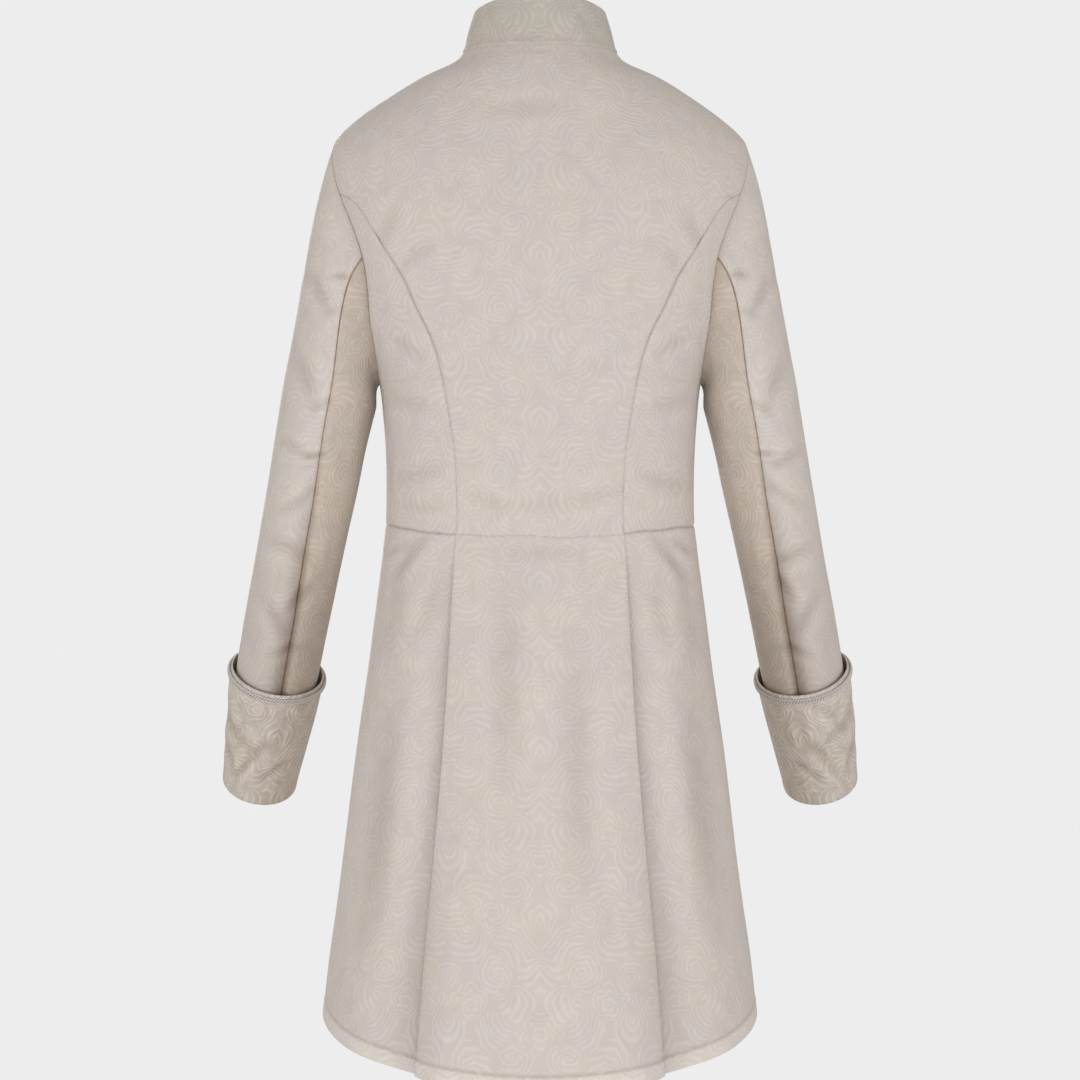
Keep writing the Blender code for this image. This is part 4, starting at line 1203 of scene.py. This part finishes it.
edge_places = np.array((0, 0.004, 0.009, 0.016, 0.026, 0.04))
places = np.concatenate([edge_places, np.linspace(edge_places[-1], 1, ROWS_TO_TOP)[1:],
                         SLEEVE_TOP_DOWN + np.linspace(0, SLEEVE_END_DOWN - SLEEVE_TOP_DOWN, ROWS_DOWN)[1:]])
half_gap = math.degrees(JOIN / 2 / 50)
for side, hand in ((1, "left"), (-1, "right")):
    for part, cloth, start, end, count, width in (
            ("upper", ivory_brocade, SLEEVE_FRONT_SEAM, SLEEVE_BACK_SEAM, 60, 10),
            ("under", shaded_under_brocade, SLEEVE_BACK_SEAM, 360 + SLEEVE_FRONT_SEAM, 44, 3.5)):
        start, end = start + half_gap, end - half_gap
        stations = start + (end - start) * spread(np.array((0.96 * (end - start),)), count)[0]
        face = np.stack([sleeve_row(stations, place) for place in places])
        face[..., 0] *= side
        out = -side * unit(np.cross(np.gradient(face, axis=1), np.gradient(face, axis=0)))
        across = run_along(face, 1)
        off_seam = across[:, -1:] - across if part == "upper" else across
        valley = SEAM_VALLEY * np.exp(-(off_seam / width) ** 2) * ease((-face[..., 2] - 300) / 260)
        free = ease(places / 0.25)[:, None]
        creases = folds(face, out, SLEEVE_FOLDS)
        soft = (creases + sway(face) + seam_drops(face, ("first", "last"))) * free - valley
        # Painted shade along the seams, in the creases and in the back seam's valley, and light on ridges.
        shadow = np.exp(-(off_seam / (1.5 * width)) ** 2) * ease((-face[..., 2] - 360) / 220)
        hollow = (0.6 * seam_shade(face, ("first", "last")) - creases * CREASE_SHADE_SHARE) * free
        hollow = hollow + VALLEY_SHADOW * shadow
        # Painted shade, darker towards the cuff.
        hollow = hollow + 0.1 * ease((-face[..., 2] - 440) / 160)
        face = face + out * soft[..., None]
        uv = flat_map(face, face.shape[1] // 2, int(np.argmin(abs(places - 400))))
        piece = cloth_shell(f"sleeve_{part}_{hand}_cloth", face, face - out * CLOTH, uv, cloth,
                            deep=("top", "first", "last"), hollow=hollow)
        sewn(piece, f"sleeve_{part}_{hand}")


# The cuffs: deep ones of the same brocade, turned back over the sleeve ends. The cloth rolls round the
# wrist edge and stands a little off the sleeve at its top, which carries the braid.
CUFF_RINGS = (
    # down, half_width, half_depth
    (620, 48.2, 58.2),
    (651, 46.8, 56.5),
    (694, 42.8, 52.5),
    (728, 39.4, 49.0),
    (744, 38.6, 48.2),
)
CUFF_TOP_DOWN = 620
CUFF_CLOTH = 2.4
CUFF_LIP_THINNER = 1.2
CUFF_ROLL = 3.4
CUFF_SIDES = 144
BRAID_BELOW_TOP = 6
CUFF_ROLL_TURNS = (0, 25, 50, 75, 100, 125, 150, 180)
cuff = curves(("down", "half_width", "half_depth"), CUFF_RINGS)
CUFF_FOLDS = (
    # the creases that meet above the bottom edge
    (320, 714, 103, 52, 4, 2.2, 1),
    (-320, 712, 77, 52, 4, 2.2, -1),
    (303, 722, 42, 48, 4, 2.2, -2),
    (-303, 724, 138, 48, 4, 2.2, -2),
    (290, 708, 40, 66, 5, 2.2, -3),
    (-292, 706, 140, 66, 5, 2.2, -3),
    (272, 724, 36, 44, 4, 1.9, -1),
    (-274, 722, 144, 44, 4, 1.9, -1),
    # slacker ones over the rest
    (302, 690, -48, 70, 6, 2.0, 3),
    (-302, 688, 228, 70, 6, 2.0, 3),
    (318, 672, -76, 60, 5, 1.7, 2),
    (-318, 668, 256, 60, 5, 1.7, 2),
    (264, 682, 70, 60, 5, 1.6, 2),
    (-264, 684, 110, 60, 5, 1.6, 2),
    (288, 668, 24, 50, 6, 1.4, 3),
    (-290, 664, 156, 50, 6, 1.4, 3),
    # puckers under the braid
    (306, 654, 84, 24, 2.6, 0.9, 0),
    (-304, 652, 96, 24, 2.6, 0.9, 0),
    (294, 656, 96, 20, 2.4, 0.7, 0),
    (-293, 655, 84, 20, 2.4, 0.7, 0),
    (276, 660, 88, 26, 2.8, 0.9, 0),
    (-278, 659, 92, 26, 2.8, 0.9, 0),
)


def cuff_ring(station, down, inset):
    """A point of the left cuff, so far in from its outer face."""
    return sleeve_ring(station, down, cuff("half_width", down) - inset, cuff("half_depth", down) - inset)


def cuff_rows(path):
    """Rows of points round the left cuff for a path of (level, inset) pairs."""
    station = np.arange(CUFF_SIDES) * 360 / CUFF_SIDES
    return np.stack([cuff_ring(station, float(down), inset) for down, inset in path])


def cuff_roll(radius):
    """The path round the wrist edge, from the outside to the inside."""
    turns = [math.radians(turn) for turn in CUFF_ROLL_TURNS]
    return [(CUFF_BOTTOM_DOWN + radius * math.sin(t), CUFF_ROLL - radius * math.cos(t)) for t in turns]


lip = [(CUFF_TOP_DOWN, 0.9), (CUFF_TOP_DOWN + 0.9, 0.25)]
straight = [(down, 0) for down in np.linspace(CUFF_TOP_DOWN + 2.6, CUFF_BOTTOM_DOWN - 6, 48)]
turned_in = [(CUFF_BOTTOM_DOWN - CUFF_INSIDE_TURN * t, 2 * CUFF_ROLL) for t in (0.3, 0.65, 1)]
outside = lip + straight + cuff_roll(CUFF_ROLL) + turned_in
inside = [(down, inset + CUFF_CLOTH - (CUFF_LIP_THINNER if down <= CUFF_TOP_DOWN + 1 else 0))
          for down, inset in lip + straight]
inside += cuff_roll(CUFF_ROLL - CUFF_CLOTH)
inside += [(down, inset - CUFF_CLOTH) for down, inset in turned_in]
braid_lines = []
for side, hand in ((1, "left"), (-1, "right")):
    outer, inner = cuff_rows(outside), cuff_rows(inside)
    outer[..., 0] *= side
    inner[..., 0] *= side
    out = unit(outer - inner)
    face_rows = len(lip + straight)
    share = np.concatenate([np.ones(face_rows), np.linspace(1, 0, len(outside) - face_rows)])[:, None]
    creases = folds(outer, out, CUFF_FOLDS) * share
    soft = creases + sway(outer) * share
    outer, inner = outer + out * soft[..., None], inner + out * soft[..., None]
    closed = np.concatenate([outer, outer[:, :1]], axis=1)
    uv = flat_map(closed, CUFF_SIDES // 4, 20)
    # Painted shade in the cuff's creases, and a painted highlight on its ridges.
    piece = cloth_shell(f"cuff_{hand}_cloth", outer, inner, uv, turned_brocade, folded=("top",), around=True,
                        hollow=-creases * CREASE_SHADE_SHARE)
    sewn(piece, f"cuff_{hand}")
    levels_down = np.array([down for down, _ in outside[:face_rows]])
    row = int(np.argmin(abs(levels_down - CUFF_TOP_DOWN - BRAID_BELOW_TOP)))
    braid_lines.append((hand, outer[row], out[row]))


# The gimp braid: a flat gimp of pale silk strands wound round a core, sewn along each cuff just below
# its top edge.
BRAID_WIDTH = 6.4
BRAID_HEIGHT = 2.6
BRAID_STRANDS = 3
BRAID_TURNS = 36
STRAND_RADIUS = 0.95
STRAND_SIDES = 6
STRAND_POINTS = 520
GIMP_COLOUR = "cbc6c3"

tree, given, curve, away, along = growing("gimp_braid", Strands="Int", Turns="Float", Wide="Float",
                                          High="Float", Radius="Float", Points="Int", Thread="Material")
evenly = add(tree, "GeometryNodeResampleCurve", {0: curve, "Count": given["Points"]}, mode="COUNT")[0]
copies = add(tree, "GeometryNodeDuplicateElements", {0: evenly, 2: given["Strands"]}, domain="SPLINE")
share = add(tree, "GeometryNodeSplineParameter")["Factor"]
turned = add(tree, "ShaderNodeMath", {0: share, 1: given["Turns"]}, operation="MULTIPLY")[0]
apart = add(tree, "ShaderNodeMath", {0: copies[1], 1: given["Strands"]}, operation="DIVIDE")[0]
turned = add(tree, "ShaderNodeMath", {0: turned, 1: apart}, operation="ADD")[0]
turned = add(tree, "ShaderNodeMath", {0: turned, 1: 2 * math.pi}, operation="MULTIPLY")[0]
sideways = add(tree, "ShaderNodeVectorMath", {0: along, 1: away}, operation="CROSS_PRODUCT")[0]
offsets = []
for way, reach, wave in ((sideways, "Wide", "COSINE"), (away, "High", "SINE")):
    swing = add(tree, "ShaderNodeMath", {0: turned}, operation=wave)[0]
    swing = add(tree, "ShaderNodeMath", {0: swing, 1: given[reach]}, operation="MULTIPLY")[0]
    offsets.append(add(tree, "ShaderNodeVectorMath", {0: way, 3: swing}, operation="SCALE")[0])
moved = add(tree, "ShaderNodeVectorMath", {0: offsets[0], 1: offsets[1]}, operation="ADD")[0]
wound = add(tree, "GeometryNodeSetPosition", {0: copies[0], "Offset": moved})[0]
ring = add(tree, "GeometryNodeCurvePrimitiveCircle", {"Resolution": STRAND_SIDES,
                                                      "Radius": given["Radius"]})[0]
tubes = add(tree, "GeometryNodeCurveToMesh", {0: wound, 1: ring})[0]
painted(tree, tubes, given["Thread"])

gimp_silk = spun("gimp_silk", GIMP_COLOUR, 0.7, 0.5)
for hand, line, out in braid_lines:
    line = line + out * (SEAM_GAP + BRAID_HEIGHT / 2)
    braid = grown(f"cuff_braid_{hand}_gimp", tree, line, out, True, Strands=BRAID_STRANDS,
                  Turns=float(BRAID_TURNS), Wide=(BRAID_WIDTH / 2 - STRAND_RADIUS) * MM,
                  High=(BRAID_HEIGHT / 2 - STRAND_RADIUS + 0.25) * MM, Radius=STRAND_RADIUS * MM,
                  Points=STRAND_POINTS, Thread=gimp_silk)
    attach(braid, "root")
    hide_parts(f"cuff_braid_{hand}")


# The buttons: six moulds covered with the same brocade, drawn tight over the top and gathered behind, sewn
# down centre front. The levels dip there, so theirs are set to give even steps.
BUTTON_DOWNS = (38, 111.5, 218, 302.5, 379.5, 452)
BUTTON_RADIUS = 10
BUTTON_HEIGHT = 7
BUTTON_SIDES = 64
BUTTON_GATHERS = 16
BUTTON_PROFILE = ((0, 0), (0.35, 0), (0.38, 0.08), (0.42, 0.15), (0.8, 0.17), (0.92, 0.22), (0.98, 0.3),
                  (1, 0.38), (0.98, 0.5), (0.92, 0.63), (0.82, 0.76), (0.68, 0.87), (0.5, 0.94),
                  (0.3, 0.98), (0.12, 1), (0, 1))

for number, down in enumerate(BUTTON_DOWNS):
    down = np.array(float(down))
    axis = body_normal(math.pi, down)
    seat = body_face(math.pi, down) + axis * (LAP_LIFT + 1.2 * SEAM_GAP)
    turn = np.arange(BUTTON_SIDES + 1) * 2 * math.pi / BUTTON_SIDES
    across = unit(np.cross(axis, (0, 0, 1.0)))
    above = np.cross(across, axis)
    spoke = across * np.cos(turn)[:, None] + above * np.sin(turn)[:, None]
    rings, laid = [], []
    for radius, height in BUTTON_PROFILE:
        gather = 1 - 0.035 * (np.cos(BUTTON_GATHERS * turn) > 0.3) * (0.4 < radius) * (height < 0.3)
        spread_out = spoke * (radius * BUTTON_RADIUS * gather)[:, None]
        rings.append(seat + axis * height * BUTTON_HEIGHT + spread_out)
        out_along = radius if height > 0.38 else 2.2 - radius
        laid.append(np.stack([np.cos(turn), np.sin(turn)], axis=-1) * out_along * BUTTON_RADIUS)
    grid = np.arange(len(rings) * len(turn)).reshape(len(rings), len(turn))
    faces = quads(grid)
    mesh = bpy.data.meshes.new(f"button_{number + 1}_covered")
    mesh.from_pydata((np.concatenate(rings) * MM).tolist(), [], faces.tolist())
    layer = mesh.uv_layers.new(name="cloth")
    cloth = np.concatenate(laid) * MM + (0.031 * number, 0.017 * number)
    layer.data.foreach_set("uv", cloth[faces.reshape(-1)].astype(np.float32).reshape(-1))
    shape = bmesh.new()
    shape.from_mesh(mesh)
    bmesh.ops.remove_doubles(shape, verts=shape.verts, dist=1e-6)
    bmesh.ops.recalc_face_normals(shape, faces=shape.faces)
    shape.to_mesh(mesh)
    shape.free()
    mesh.shade_smooth()
    mesh.materials.append(ivory_brocade)
    button = linked(mesh.name, mesh)
    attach(button, "root")
    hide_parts(f"button_{number + 1}")
